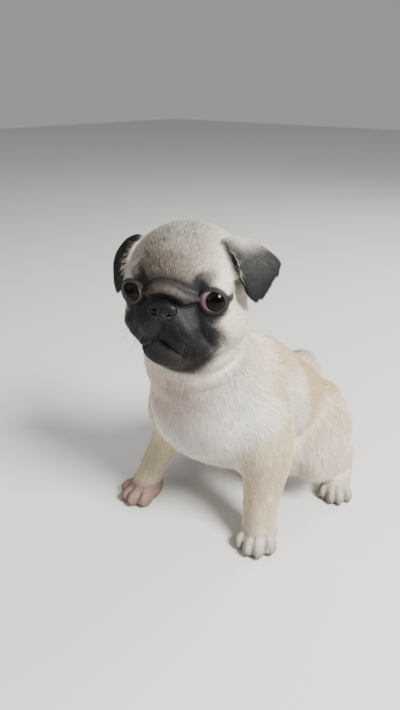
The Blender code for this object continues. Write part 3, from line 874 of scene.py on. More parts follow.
    side = np.sign(local[:, 0])
    mirrored = local * np.stack([side, np.ones_like(side), np.ones_like(side)], axis=1)
    middle = spot(mirrored[:, [0, 2]], *markPlaces["earMiddle"])
    root = ramp(local[:, 2], 27, 37) * ramp(local[:, 0], 16, 24)
    flap = mixed(np.tile(colours["ear"], (len(points), 1)), colours["earMiddle"], 0.8 * middle)
    flap = mixed(flap, colours["cheek"], 0.85 * root)
    light = mixed(light, flap, ears)
    dark = mixed(dark, colours["mask"], ears * (1 - 0.6 * root))
    darkShare = darkShare * (1 - ears) + 0.45 * ears * (1 - np.maximum(0.8 * root, 0.4 * middle))
    away, _, _ = lineDistance(mirrored, curveThrough(earEdge))
    edge = ears * np.exp(-((away / 3.4) ** 2)) * (1 - 0.6 * root)
    light = mixed(light, colours["earEdge"], edge)
    darkShare = np.maximum(darkShare, 0.7 * edge)
    streak = 0.12 + 0.9 * np.maximum(brow, crown) + 0.6 * ears + 1.0 * muzzle
    return light, dark, np.clip(darkShare, 0, 1), creaseShade, streak


points = readPoints(skin.data)
normals = unit(eased(readNormals(skin.data), edges, 2))
lie = lieOfCoat(points, normals)
light, dark, darkShare, creaseShade, streak = markings(points, normals)
local = into(headFrame, points)
length = blendOf(lambda name: coatLook[kindOf(name)][0])
faceNear = nodeShare("head", "lower_jaw") * ramp(-local[:, 1], 6, 22)
length = length * (1 - shorterCoat["face"] * faceNear)
bare = np.zeros(len(points))
lidRim = np.zeros(len(points))
for side in (1, -1):
    outside, away = openingDistance(into(eyeFrame(side), points), side)
    close = (away < 16) * nodeShare("head")
    length = length * (1 - close * (shorterCoat["lids"] - shorterCoat["lids"] * ramp(outside, 0, 7)))
    bare = np.maximum(bare, close * (1 - ramp(outside, 0.35, 0.75)))
    lidRim = np.maximum(lidRim, close * (1 - ramp(outside, 0.6, 1.1)))
noseMiddle = np.array(middleOf("nose"))
noseGap = np.linalg.norm(points - noseMiddle, axis=1) / mm
length = length * (1 - shorterCoat["nose"] + shorterCoat["nose"] * ramp(noseGap, 8, 18))
for line, width, _ in neckFolds:
    inFold = lineDistance(points / mm, curveThrough(line))[0]
    length = length * (1 - shorterCoat["neckFolds"] * np.exp(-((inFold / width / 1.4) ** 2)))
inMouth = lineDistance(local[:, [0, 2]], curveThrough(faceLines["mouth"]))[0]
bare = np.maximum(bare, (1 - ramp(inMouth, 0.5, 0.9)) * faceNear * (np.abs(local[:, 0] - 2) < 15))
density = (1 - bare) * (points[:, 2] > 1.0 * mm)
print("coat lie, length and markings worked out")


def storeValues(mesh, name, kind, domain, values):
    layer = mesh.attributes.new(name, kind, domain)
    values = np.asarray(values, np.float32)
    if kind == "FLOAT_COLOR":
        values = np.hstack([values, np.ones((len(values), 1), np.float32)])
    key = {"FLOAT_VECTOR": "vector", "FLOAT_COLOR": "color"}.get(kind, "value")
    layer.data.foreach_set(key, values.astype(np.int32).ravel() if kind == "INT" else values.ravel())


def faceMean(mesh, values):
    loops = np.empty(len(mesh.loops), int)
    mesh.loops.foreach_get("vertex_index", loops)
    totals = np.empty(len(mesh.polygons), int)
    mesh.polygons.foreach_get("loop_total", totals)
    faces = np.repeat(np.arange(len(totals)), totals)
    flat = values if values.ndim > 1 else values[:, None]
    sums = [np.bincount(faces, weights=column[loops], minlength=len(totals)) for column in flat.T]
    out = np.stack(sums, axis=1) / totals[:, None]
    return out if values.ndim > 1 else out[:, 0]


# Zones of the coat, each its own piece: the record's slot, how many tufts, their width in mm,
# how far they lift off the skin, how far they spread and how far they gather into locks
zoneFields = ("slot", "tufts", "width", "lift", "spread", "clump")
zoneValues = {
    "coat_muzzle": ("coat_black", 44000, 0.19, (0.10, 0.40), 0.35, 0.30),
    "coat_skull": ("coat_fawn", 49500, 0.19, (0.08, 0.32), 0.25, 0.35),
    "coat_ears": ("coat_black", 26000, 0.22, (0.04, 0.22), 0.30, 0.30),
    "coat_neck": ("coat_cream", 30000, 0.34, (0.08, 0.34), 0.25, 0.45),
    "coat_chest": ("coat_cream", 32000, 0.38, (0.08, 0.34), 0.25, 0.45),
    "coat_back": ("coat_fawn", 32000, 0.38, (0.05, 0.26), 0.25, 0.40),
    "coat_left": ("coat_fawn", 38000, 0.36, (0.05, 0.26), 0.25, 0.40),
    "coat_right": ("coat_fawn", 34000, 0.38, (0.05, 0.26), 0.25, 0.40),
    "coat_forelegs": ("coat_fawn", 28000, 0.32, (0.06, 0.26), 0.25, 0.35),
    "coat_hindlegs": ("coat_fawn", 30000, 0.34, (0.06, 0.28), 0.25, 0.40),
    "coat_paws": ("coat_cream", 26000, 0.24, (0.05, 0.28), 0.30, 0.30),
    "coat_tail": ("coat_fawn", 9000, 0.32, (0.08, 0.34), 0.30, 0.35),
}
zones = {name: dict(zip(zoneFields, values)) for name, values in zoneValues.items()}
zoneNames = list(zones)


def zoneOfFaces(mesh):
    # the zone of each face, by the solid it stands for and, on the trunk, by the way it faces
    place = faceMean(mesh, points)
    facing = unit(faceMean(mesh, normals))
    inHead = into(headFrame, place)
    homes = {
        "coat_skull": ("head", "lower_jaw"),
        "coat_ears": ("ear",),
        "coat_neck": ("neck",),
        "coat_left": ("torso",),
        "coat_forelegs": ("foreleg",),
        "coat_hindlegs": ("hindleg",),
        "coat_paws": ("forepaw", "hindpaw"),
        "coat_tail": ("tail",),
    }
    best = np.stack([faceMean(mesh, nodeShare(*group)) for group in homes.values()], axis=1).argmax(axis=1)
    zone = np.array([zoneNames.index(name) for name in homes])[best]
    face = (zone == zoneNames.index("coat_skull")) & (inHead[:, 1] < -12) & (inHead[:, 2] < 17)
    zone[face] = zoneNames.index("coat_muzzle")
    torso = zone == zoneNames.index("coat_left")
    zone[torso & (facing[:, 0] < 0)] = zoneNames.index("coat_right")
    zone[torso & (facing[:, 2] > 0.72)] = zoneNames.index("coat_back")
    zone[torso & ((facing[:, 1] < -0.6) | (facing[:, 2] < -0.5))] = zoneNames.index("coat_chest")
    return zone


def unwrapSkin(obj):
    layer = obj.data.uv_layers.new(name="OFBake")
    layer.active = True
    bpy.context.view_layer.objects.active = obj
    obj.select_set(True)
    bpy.ops.object.mode_set(mode="EDIT")
    bpy.ops.mesh.select_all(action="SELECT")
    bpy.ops.uv.smart_project(angle_limit=math.radians(66), island_margin=0.002)
    bpy.ops.object.mode_set(mode="OBJECT")


unwrapSkin(skin)
zone = zoneOfFaces(skin.data)
areas = np.empty(len(skin.data.polygons))
skin.data.polygons.foreach_get("area", areas)
# the skin takes the coat's mixed colour, darkened to 0.88 as painted shade under the coat
skinColourShaded = mixed(light, dark, darkShare * 0.6) * 0.88
skinColourShaded = mixed(skinColourShaded, colours["lid"], lidRim)
# values that only the coat reads, then those that the skin keeps for its material
coatValues = {
    "coatLight": ("FLOAT_COLOR", light),
    "coatDark": ("FLOAT_COLOR", dark),
    "darkShare": ("FLOAT", darkShare),
    "streak": ("FLOAT", streak),
    "coatLength": ("FLOAT", length * mm),
    "coatDensity": ("FLOAT", density),
    "skinNormal": ("FLOAT_VECTOR", normals),
    "coatLie": ("FLOAT_VECTOR", lie),
    "zone": ("INT", zone),
}
skinValues = {
    "skinColourShaded": ("FLOAT_COLOR", skinColourShaded),
    "wet": ("FLOAT", np.maximum(bare, 0.5 * creaseShade)),
}
for name, (kind, values) in (coatValues | skinValues).items():
    storeValues(skin.data, name, kind, "FACE" if name == "zone" else "POINT", values)


def dropValues(mesh, names):
    for name in names:
        if name in mesh.attributes:
            mesh.attributes.remove(mesh.attributes[name])


print("skin unwrapped and marked")


# Materials


def newMaterial(name):
    material = bpy.data.materials.new(name)
    material.use_nodes = True
    return material, material.node_tree, material.node_tree.nodes["Principled BSDF"]


def skinMaterial():
    # thin skin under the coat, with its pores and its colour darkened by painted shade; wet at the lids and
    # lips
    material, tree, shader = newMaterial("skin_under_coat")
    colour = addNode(tree, "ShaderNodeAttribute", {"attribute_name": "skinColourShaded"})
    wet = addNode(tree, "ShaderNodeAttribute", {"attribute_name": "wet"})
    place = addNode(tree, "ShaderNodeTexCoord").outputs["Object"]
    pores = addNode(tree, "ShaderNodeTexNoise", {"Scale": 900.0, "Detail": 3.0}, {"Vector": place})
    bump = addNode(tree, "ShaderNodeBump", {"Strength": 0.35, "Distance": 0.0003}, {"Height": pores})
    drier = {"To Min": 0.75, "To Max": 0.4}
    rough = addNode(tree, "ShaderNodeMapRange", drier, {"Value": wet.outputs["Fac"]})
    tree.links.new(colour.outputs["Color"], shader.inputs["Base Color"])
    tree.links.new(bump.outputs["Normal"], shader.inputs["Normal"])
    tree.links.new(rough.outputs["Result"], shader.inputs["Roughness"])
    return material


def coatMaterial():
    # short dog hair: soft sheen, with painted shade that darkens it toward its roots
    material, tree, shader = newMaterial("coat_hair")
    colour = addNode(tree, "ShaderNodeAttribute", {"attribute_name": "coatColour"})
    along = addNode(tree, "ShaderNodeAttribute", {"attribute_name": "along"})
    # painted shade: each hair darkens toward its root, where the coat shades itself
    rootShadeSpan = {"To Min": 0.82, "To Max": 1.06}
    shade = addNode(tree, "ShaderNodeMapRange", rootShadeSpan, {"Value": along.outputs["Fac"]})
    deep = addNode(tree, "ShaderNodeVectorMath", {"operation": "SCALE"}, {0: colour, "Scale": shade})
    tree.links.new(deep.outputs[0], shader.inputs["Base Color"])
    shader.inputs["Roughness"].default_value = 0.55
    shader.inputs["Specular IOR Level"].default_value = 0.3
    return material


skin.data.materials.append(skinMaterial())
coat = coatMaterial()


# Coat: tufts of hair on the skin, laid along the coat's lie


def tuftObject():
    # a flat three-sided spike one unit long and one wide
    ring = [(-0.22, -0.5, 0.0), (-0.22, 0.5, 0.0), (0.38, 0.0, 0.0)]
    mesh = bpy.data.meshes.new("tuft")
    mesh.from_pydata(ring + [(0.0, 0.0, 1.0)], [], [(0, 1, 2), (1, 0, 3), (2, 1, 3), (0, 2, 3)])
    onPatch = [(0, 0, 0), (1, 0, 0), (0.5, 0.3, 0), (0.5, 1, 0)]
    storeValues(mesh, "along", "FLOAT", "POINT", [0, 0, 0, 1])
    storeValues(mesh, "tuftPlace", "FLOAT_VECTOR", "POINT", onPatch)
    return newObject("tuft", mesh)


treeInputs = {
    # each input's name, kind and, for a number, its value when nothing is set
    "skin": ("Skin", "NodeSocketObject", None),
    "tuft": ("Tuft", "NodeSocketObject", None),
    "material": ("Material", "NodeSocketMaterial", None),
    "zone": ("Zone", "NodeSocketInt", 0),
    "density": ("Density", "NodeSocketFloat", 1.0),
    "width": ("Width", "NodeSocketFloat", 0.0003),
    "liftLow": ("Lift Low", "NodeSocketFloat", 0.1),
    "liftHigh": ("Lift High", "NodeSocketFloat", 0.3),
    "spread": ("Spread", "NodeSocketFloat", 0.3),
    "clump": ("Clump", "NodeSocketFloat", 0.3),
    "seed": ("Seed", "NodeSocketInt", 0),
}
tuftLook = {
    "reach": (0.7, 1.2),  # shortest and longest hair, as shares of the coat's length there
    "glow": (0.9, 1.08),  # darkest and lightest tuft, as shares of the coat's colour
    "blotch": (0.9, 1.06),  # the same for patches of the coat
    "lockScale": 140.0,  # noise per metre: locks about 7 mm, streaks 3 mm, smudges 10 mm across
    "streakScale": 330.0,
    "smudgeScale": 95.0,
    "streakStretch": 0.72,  # how much longer than wide the streaks are, from 0 to 1
    "contrast": 1.6,
    "patch": 0.003,  # size of a tuft's place on the skin's unwrap
}


def coatTree():
    tree = bpy.data.node_groups.new("coat", "GeometryNodeTree")
    tree.interface.new_socket("Geometry", in_out="OUTPUT", socket_type="NodeSocketGeometry")
    inputs = {}
    for key, (label, kind, value) in treeInputs.items():
        socket = tree.interface.new_socket(label, in_out="INPUT", socket_type=kind)
        if value is not None:
            socket.default_value = value
        inputs[key] = socket.identifier
    numberMath, vectorMath = "ShaderNodeMath", "ShaderNodeVectorMath"
    store, noise = "GeometryNodeStoreNamedAttribute", "ShaderNodeTexNoise"
    given = addNode(tree, "NodeGroupInput").outputs
    skinInfo = addNode(tree, "GeometryNodeObjectInfo", None, {"Object": given["Skin"]})
    tuftInfo = addNode(tree, "GeometryNodeObjectInfo", None, {"Object": given["Tuft"]})
    place = addNode(tree, "GeometryNodeInputPosition")

    # the values stored on the skin and on the tuft
    read = {}
    kinds = {name: kind for name, (kind, _) in coatValues.items()}
    kinds |= {"OFBake": "FLOAT_VECTOR", "tuftPlace": "FLOAT_VECTOR", "root": "FLOAT_VECTOR"}
    for name, kind in kinds.items():
        read[name] = addNode(tree, "GeometryNodeInputNamedAttribute", {"data_type": kind, "Name": name})

    # numbers drawn for each tuft, each with its own seed
    negative = addNode(tree, numberMath, {"operation": "MULTIPLY", 1: -1.0}, {0: given["Spread"]}).outputs[0]
    limits = {
        "yaw": (negative, given["Spread"]),
        "lift": (given["Lift Low"], given["Lift High"]),
        "reach": tuftLook["reach"],
        "chance": (0.0, 1.0),
        "glow": tuftLook["glow"],
    }
    drawn = {}
    for step, (name, ends) in enumerate(limits.items(), 1):
        seed = addNode(tree, numberMath, {"operation": "ADD", 1: float(step)}, {0: given["Seed"]})
        settings = {"data_type": "FLOAT"}
        links = {8: seed}
        for index, value in zip((2, 3), ends):
            (settings if isinstance(value, float) else links)[index] = value
        drawn[name] = addNode(tree, "FunctionNodeRandomValue", settings, links).outputs[1]

    equal = {"data_type": "INT", "operation": "EQUAL"}
    inZone = addNode(tree, "FunctionNodeCompare", equal, {2: read["zone"], 3: given["Zone"]})
    links = {0: read["coatDensity"], 1: given["Density"]}
    thick = addNode(tree, numberMath, {"operation": "MULTIPLY"}, links)
    links = {0: skinInfo.outputs["Geometry"], 1: inZone, 4: thick, 6: given["Seed"]}
    spots = addNode(tree, "GeometryNodeDistributePointsOnFaces", None, links)

    # which way each tuft points: the lie, gathered into locks by noise, then spread and lifted at random
    facing = read["skinNormal"]
    locks = addNode(tree, noise, {"Scale": tuftLook["lockScale"], "Detail": 1.0}, {"Vector": place})
    middle = {"operation": "SUBTRACT", 1: (0.5, 0.5, 0.5)}
    centred = addNode(tree, vectorMath, middle, {0: locks.outputs["Color"]})
    stray = addNode(tree, vectorMath, {"operation": "SCALE"}, {0: centred, "Scale": given["Clump"]})
    lay = addNode(tree, vectorMath, {"operation": "ADD"}, {0: read["coatLie"], 1: stray})
    about = {"rotation_type": "AXIS_ANGLE"}
    swung = addNode(tree, "ShaderNodeVectorRotate", about, {0: lay, 2: facing, 3: drawn["yaw"]})
    upward = addNode(tree, vectorMath, {"operation": "SCALE"}, {0: facing, "Scale": drawn["lift"]})
    heading = addNode(tree, vectorMath, {"operation": "ADD"}, {0: swung, 1: upward})
    axes = {"primary_axis": "Z", "secondary_axis": "X"}
    turn = addNode(tree, "FunctionNodeAxesToRotation", axes, {0: heading, 1: facing})
    reach = addNode(tree, numberMath, {"operation": "MULTIPLY"}, {0: read["coatLength"], 1: drawn["reach"]})
    size = addNode(tree, "ShaderNodeCombineXYZ", None, {0: given["Width"], 1: given["Width"], 2: reach})

    # each tuft is light or dark by the share of dark hairs where it roots, in streaks along the lie
    onLie = addNode(tree, vectorMath, {"operation": "DOT_PRODUCT"}, {0: place, 1: read["coatLie"]})
    shorter = {"operation": "MULTIPLY", 1: -tuftLook["streakStretch"]}
    part = addNode(tree, numberMath, shorter, {0: onLie.outputs["Value"]})
    squeeze = addNode(tree, vectorMath, {"operation": "SCALE"}, {0: read["coatLie"], "Scale": part})
    squeezed = addNode(tree, vectorMath, {"operation": "ADD"}, {0: place, 1: squeeze})
    streaks = {"Scale": tuftLook["streakScale"], "Detail": 2.0}
    bands = addNode(tree, noise, streaks, {"Vector": squeezed})
    patches = {"Scale": tuftLook["smudgeScale"], "Detail": 1.0}
    smudges = addNode(tree, noise, patches, {"Vector": squeezed})
    both = addNode(tree, numberMath, {"operation": "ADD"}, {0: bands, 1: smudges})
    evened = addNode(tree, numberMath, {"operation": "SUBTRACT", 1: 1.0}, {0: both})
    links = {0: evened, 1: read["streak"], 2: read["darkShare"]}
    streaky = addNode(tree, numberMath, {"operation": "MULTIPLY_ADD"}, links)
    chance = addNode(tree, numberMath, {"operation": "SUBTRACT"}, {0: streaky, 1: drawn["chance"]})
    sharpen = {"operation": "MULTIPLY_ADD", "use_clamp": True, 1: tuftLook["contrast"], 2: 0.5}
    sharp = addNode(tree, numberMath, sharpen, {0: chance})
    links = {0: sharp, 6: read["coatLight"], 7: read["coatDark"]}
    tone = addNode(tree, "ShaderNodeMix", {"data_type": "RGBA"}, links).outputs[2]
    low, high = tuftLook["blotch"]
    span = {"From Min": 0.3, "From Max": 0.7, "To Min": low, "To Max": high}
    blotch = addNode(tree, "ShaderNodeMapRange", span, {"Value": smudges})
    glow = addNode(tree, numberMath, {"operation": "MULTIPLY"}, {0: blotch, 1: drawn["glow"]})
    shade = addNode(tree, vectorMath, {"operation": "SCALE"}, {0: tone, "Scale": glow})
    settings = {"data_type": "FLOAT_COLOR", "domain": "POINT", "Name": "coatColour"}
    coloured = addNode(tree, store, settings, {0: spots, 3: shade})
    settings = {"data_type": "FLOAT_VECTOR", "domain": "POINT", "Name": "root"}
    rooted = addNode(tree, store, settings, {0: coloured, 3: read["OFBake"]})

    # the tufts as one mesh, each with its own patch of the skin's unwrap
    links = {0: rooted, 2: tuftInfo.outputs["Geometry"], 5: turn, 6: size}
    tufts = addNode(tree, "GeometryNodeInstanceOnPoints", None, links)
    real = addNode(tree, "GeometryNodeRealizeInstances", None, {0: tufts})
    smaller = {"operation": "SCALE", "Scale": tuftLook["patch"]}
    patch = addNode(tree, vectorMath, smaller, {0: read["tuftPlace"]})
    onSkin = addNode(tree, vectorMath, {"operation": "ADD"}, {0: patch, 1: read["root"]})
    settings = {"data_type": "FLOAT2", "domain": "CORNER", "Name": "OFBake"}
    mapped = addNode(tree, store, settings, {0: real, 3: onSkin})
    dyed = addNode(tree, "GeometryNodeSetMaterial", None, {0: mapped, 2: given["Material"]})
    out = addNode(tree, "NodeGroupOutput")
    tree.links.new(dyed.outputs[0], out.inputs[0])
    return tree, inputs


def growZone(name, settings, tree, inputs, tuft):
    index = zoneNames.index(name)
    room = (areas * faceMean(skin.data, density))[zone == index].sum()
    obj = newObject(name, bpy.data.meshes.new(name))
    grow = obj.modifiers.new("coat", "NODES")
    grow.node_group = tree
    values = {
        "skin": skin,
        "tuft": tuft,
        "material": coat,
        "zone": index,
        "density": settings["tufts"] / room,
        "width": settings["width"] * mm,
        "liftLow": settings["lift"][0],
        "liftHigh": settings["lift"][1],
        "spread": settings["spread"],
        "clump": settings["clump"],
        "seed": 11 + 10 * index,
    }
    for key, value in values.items():
        grow[inputs[key]] = value
    evaluated(obj)
    placed = readPoints(obj.data)
    placed[:, 2] = np.maximum(placed[:, 2], 0.02 * mm)
    writePoints(obj.data, placed)
    softenNormals(obj.data)
    dropValues(obj.data, [*coatValues, *skinValues, "root", "tuftPlace"])
    print(name + ":", len(obj.data.polygons), "triangles of coat")
    return obj


def softenNormals(mesh):
    # the tufts take most of their shading from the skin, as lying hair does
    own = readNormals(mesh)
    below = np.empty(len(mesh.vertices) * 3, np.float32)
    mesh.attributes["skinNormal"].data.foreach_get("vector", below)
    shadeSmooth(mesh)
    mesh.normals_split_custom_set_from_vertices(unit(0.4 * own + below.reshape(-1, 3)).tolist())


tree, inputs = coatTree()
tuft = tuftObject()
coatPieces = [growZone(name, settings, tree, inputs, tuft) for name, settings in zones.items()]
bpy.data.objects.remove(tuft)
dropValues(skin.data, coatValues)

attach(skin, "root")
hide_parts(*fleshNodes)

# Eyes: a ball with its cornea bulging forward, marked by the distance from the line of sight


# Colours of the eye outward from the line of sight: pupil, iris, its dark edge, then the white
eyeBands = [
    (0.0, "#020203"),
    (0.25, "#030303"),
    (0.29, "#0B0705"),
    (0.44, "#140D08"),
    (0.51, "#080605"),
    (0.54, "#060505"),
    (0.58, "#65504F"),
    (0.68, "#937B7E"),
    (0.82, "#6C5255"),
]


def eyeMaterial():
    # dark brown iris and pupil under a clear wet cornea, pinkish white beside it
    material, tree, shader = newMaterial("wet_eye")
    gaze = addNode(tree, "ShaderNodeAttribute", {"attribute_name": "fromGaze"})
    rays = addNode(tree, "ShaderNodeAttribute", {"attribute_name": "irisPlace"}).outputs["Vector"]
    fibres = addNode(tree, "ShaderNodeTexNoise", {"Scale": 7.0, "Detail": 4.0}, {"Vector": rays})
    bands = addNode(tree, "ShaderNodeValToRGB", None, {"Fac": gaze.outputs["Fac"]})
    for index, (place, text) in enumerate(eyeBands):
        stop = bands.color_ramp.elements[index] if index < 2 else bands.color_ramp.elements.new(place)
        stop.position = place
        stop.color = toLinear(text)
    depth = addNode(tree, "ShaderNodeMapRange", {"To Min": 0.6, "To Max": 1.4}, {"Value": fibres})
    lit = addNode(tree, "ShaderNodeVectorMath", {"operation": "SCALE"}, {0: bands, "Scale": depth})
    tree.links.new(lit.outputs[0], shader.inputs["Base Color"])
    shader.inputs["Roughness"].default_value = 0.5
    shader.inputs["Specular IOR Level"].default_value = 0.0
    shader.inputs["Coat Weight"].default_value = 0.4
    shader.inputs["Coat IOR"].default_value = 1.34
    shader.inputs["Coat Roughness"].default_value = 0.02
    return material


def makeEye(side, material):
    form = bmesh.new()
    bmesh.ops.create_uvsphere(form, u_segments=72, v_segments=56, radius=1.0)
    mesh = bpy.data.meshes.new("eye")
    form.to_mesh(mesh)
    form.free()
    points = unit(readPoints(mesh))
    away = np.arccos(np.clip(points[:, 2], -1, 1))
    edge, bulge = eyeLook["cornea"]
    edgeAngle = math.asin(edge / eyeLook["ball"])
    radius = eyeLook["ball"] + bulge * np.clip(1 - (away / edgeAngle) ** 2, 0, 1) ** 1.3
    sideways, upward = (math.radians(v) for v in eyeLook["gaze"][side])
    look = Matrix.Rotation(sideways, 4, "Z") @ Matrix.Rotation(math.radians(90) - upward, 4, "X")
    writePoints(mesh, outOf(eyeFrame(side) @ look, points * radius[:, None]))
    fromGaze = np.where(points[:, 2] > 0, np.sin(away), 1) * eyeLook["ball"] / 10
    irisPlace = points * (1, 1, 0.15) / np.maximum(np.sin(away), 0.05)[:, None]
    storeValues(mesh, "fromGaze", "FLOAT", "POINT", fromGaze)
    storeValues(mesh, "irisPlace", "FLOAT_VECTOR", "POINT", irisPlace)
    shadeSmooth(mesh)
    mesh.materials.append(material)
    return newObject("eyeball_left" if side > 0 else "eyeball_right", mesh)


eyeMatter = eyeMaterial()
eyes = {side: makeEye(side, eyeMatter) for side in (1, -1)}
print("eyes made")


# Nose leather: the solid's form in a finer mesh, with nostrils, side slits and the groove between

noseLook = {
    "flat": 0.68,  # how far its front stands out, as a share of the solid's
    "voxel": 0.34,
    "pits": [((-3.3, 0.4), 1.35, 1.5), ((3.3, 0.4), 1.35, 1.5)],  # middle as x and z, radius, depth
    "slit": [(4.2, 0.4), (5.8, -0.6), (7.3, -0.4), (8.6, 0.6)],  # mirrored for the other side
    "groove": [(0, -7), (0, 2.2)],
    "colours": ("#060708", "#101214"),
}


def noseMaterial():
    # wet black leather with fine pebbles
    material, tree, shader = newMaterial("nose_leather")
    place = addNode(tree, "ShaderNodeTexCoord")
    pebbles = addNode(tree, "ShaderNodeTexVoronoi", {"Scale": 2200.0}, {"Vector": place.outputs["Object"]})
    relief = {"Strength": 0.5, "Distance": 0.00015, "invert": True}
    bump = addNode(tree, "ShaderNodeBump", relief, {"Height": pebbles.outputs["Distance"]})
    patches = {"Scale": 260.0, "Detail": 3.0}
    tone = addNode(tree, "ShaderNodeTexNoise", patches, {"Vector": place.outputs["Object"]})
    low, high = (toLinear(text) for text in noseLook["colours"])
    colour = addNode(tree, "ShaderNodeMix", {"data_type": "RGBA", 6: low, 7: high}, {0: tone})
    tree.links.new(colour.outputs[2], shader.inputs["Base Color"])
    tree.links.new(bump.outputs["Normal"], shader.inputs["Normal"])
    shader.inputs["Roughness"].default_value = 0.5
    shader.inputs["Specular IOR Level"].default_value = 0.2
    shader.inputs["Coat Weight"].default_value = 0.05
    shader.inputs["Coat Roughness"].default_value = 0.2
    return material


def makeNose():
    obj = newObject("nose_leather", mergedCopy("nose", 0.15))
    remesh = obj.modifiers.new("fine", "REMESH")
    remesh.mode = "VOXEL"
    remesh.voxel_size = noseLook["voxel"] * mm
    evaluated(obj)
    smoothMesh(obj, 4)
    mesh = obj.data
    points = readPoints(mesh)
    normals = unit(eased(readNormals(mesh), readEdges(mesh), 2))
    noseFrame = Matrix.Translation(middleOf("nose")) @ muzzleFrame.to_3x3().to_4x4()
    local = into(noseFrame, points)
    local[:, 1] = np.where(local[:, 1] < 0, local[:, 1] * noseLook["flat"], local[:, 1])
    points = outOf(noseFrame, local)
    front = np.clip(-turned(noseFrame.inverted(), normals)[:, 1] * 2.5 + 0.8, 0, 1)
    across = local[:, [0, 2]]
    shift = np.zeros(len(points))
    for middle, radius, depth in noseLook["pits"]:
        away = np.linalg.norm((across - middle) * (1, 1.15), axis=1)
        shift -= depth * np.exp(-((away / radius) ** 4))
    for side in (1, -1):
        away, _, _ = lineDistance(across, curveThrough(np.array(noseLook["slit"]) * (side, 1)))
        shift -= 0.9 * np.exp(-((away / 0.55) ** 2))
    away, _, _ = lineDistance(across, np.array(noseLook["groove"], float))
    shift -= 0.55 * np.exp(-((away / 0.5) ** 2))
    writePoints(mesh, points + normals * (shift * front * mm)[:, None])
    shadeSmooth(mesh)
    mesh.materials.clear()
    mesh.materials.append(noseMaterial())
    return obj


nose = makeNose()
print("nose made")


# Claws and whiskers

clawLook = {
    "length": 3.6,
    "radius": 1.15,
    "tip": 0.3,
    "pitch": (math.radians(42), math.radians(78)),  # down from level at its root and at its tip
    "sides": 12,
    "rings": 8,
}
fringeLook = {"count": 90, "length": 4.4, "thick": 0.07}
hairLook = {
    "thick": 0.085,  # radius at the root, mm
    # middle as x and z in the head's frame, half size, how many, length in mm, how far they point forward
    "muzzle": ((15, -15), (8, 6), 15, 12.5, 0.5),
    "cheek": ((29, -17), (2.5, 3), 4, 14, 0.3),
    "brow": ((21, 24), (4, 2), 5, 10, 0.9),
    "chin": ((6, -31), (6, 3), 7, 7, 0.6),
}
hornLook = {
    # dark and light colour, noise per metre, roughness
    "claw_horn": ("#141213", "#3A3432", 900.0, 0.32),  # horn, nearly black, with faint lengthwise streaks
    "whisker_hair": ("#17130F", "#4A4038", 300.0, 0.4),  # stiff dark whisker that catches a little light
    "fringe_hair": ("#CFC2AD", "#EFE8DA", 500.0, 0.6),  # pale soft hair at the ears
}


def hornMaterial(name):
    # horn and single hairs are one stuff, keratin, of different colour and polish
    low, high, scale, roughness = hornLook[name]
    material, tree, shader = newMaterial(name)
    place = addNode(tree, "ShaderNodeTexCoord").outputs["Object"]
    tone = addNode(tree, "ShaderNodeTexNoise", {"Scale": scale, "Detail": 2.0}, {"Vector": place})
    ends = {"data_type": "RGBA", 6: toLinear(low), 7: toLinear(high)}
    colour = addNode(tree, "ShaderNodeMix", ends, {0: tone})
    tree.links.new(colour.outputs[2], shader.inputs["Base Color"])
    shader.inputs["Roughness"].default_value = roughness
    return material


def sweep(path, radii, sides):
    # a closed tapering tube along a path, as points and faces
    path = np.array(path, float)
    steps = unit(np.gradient(path, axis=0))
    across = unit(np.cross(steps, (0.3, 0.1, 1.0)))
    other = np.cross(steps, across)
    angles = np.arange(sides) * 2 * math.pi / sides
    rings = path[:, None] + np.array(radii)[:, None, None] * (
        np.cos(angles)[None, :, None] * across[:, None] + np.sin(angles)[None, :, None] * other[:, None]
    )
    faces = []
    for r in range(len(path) - 1):
        for k in range(sides):
            a, b = r * sides + k, r * sides + (k + 1) % sides
            faces.append((a, b, b + sides, a + sides))
    last = (len(path) - 1) * sides
    faces.append(tuple(range(sides))[::-1])
    faces.append(tuple(range(last, last + sides)))
    return rings.reshape(-1, 3), faces


def joinedMesh(name, parts, material):
    # many closed tubes as one piece
    verts, faces, start = [], [], 0
    for points, some in parts:
        verts.append(points)
        faces += [tuple(i + start for i in face) for face in some]
        start += len(points)
    mesh = bpy.data.meshes.new(name)
    mesh.from_pydata(np.vstack(verts).tolist(), [], faces)
    form = bmesh.new()
    form.from_mesh(mesh)
    bmesh.ops.recalc_face_normals(form, faces=form.faces)
    form.to_mesh(mesh)
    form.free()
    shadeSmooth(mesh)
    mesh.materials.append(material)
    return newObject(name, mesh)


def toePlaces(half):
    # middle of each toe and how far across the paw it lies, in the paw's frame
    out = []
    for i in range(4):
        across = (2 * i - 3) / 3
        inner = 1 - abs(across)
        out.append((across, np.array([across * half * 0.7, -half * (0.5 + 0.6 * inner), half * 0.4])))
    return out


def makeClaws():
    parts = []
    for name, (_, half, _) in pawLook.items():
        for across, middle in toePlaces(half):
            root = middle + (across * 0.8, -0.52 * half + 2.4, -0.11 * half + 0.6)
            path, radii = [], []
            for k in range(clawLook["rings"]):
                share = k / (clawLook["rings"] - 1)
                lean = np.interp(share, (0, 1), clawLook["pitch"])
                reach = clawLook["length"] * share
                path.append(root + (across * 0.3 * reach, -reach * math.cos(lean), -reach * math.sin(lean)))
                radii.append(clawLook["radius"] + (clawLook["tip"] - clawLook["radius"]) * share**1.4)
            path = np.array(path)
            path[:, 2] = np.maximum(path[:, 2], np.array(radii) + 0.05)
            parts.append(sweep(outOf(pawFrame(name), path), np.array(radii) * mm, clawLook["sides"]))
    return joinedMesh("claws", parts, hornMaterial("claw_horn"))


skinFaces = [tuple(p.vertices) for p in skin.data.polygons]
skinTree = BVHTree.FromPolygons(readPoints(skin.data).tolist(), skinFaces)


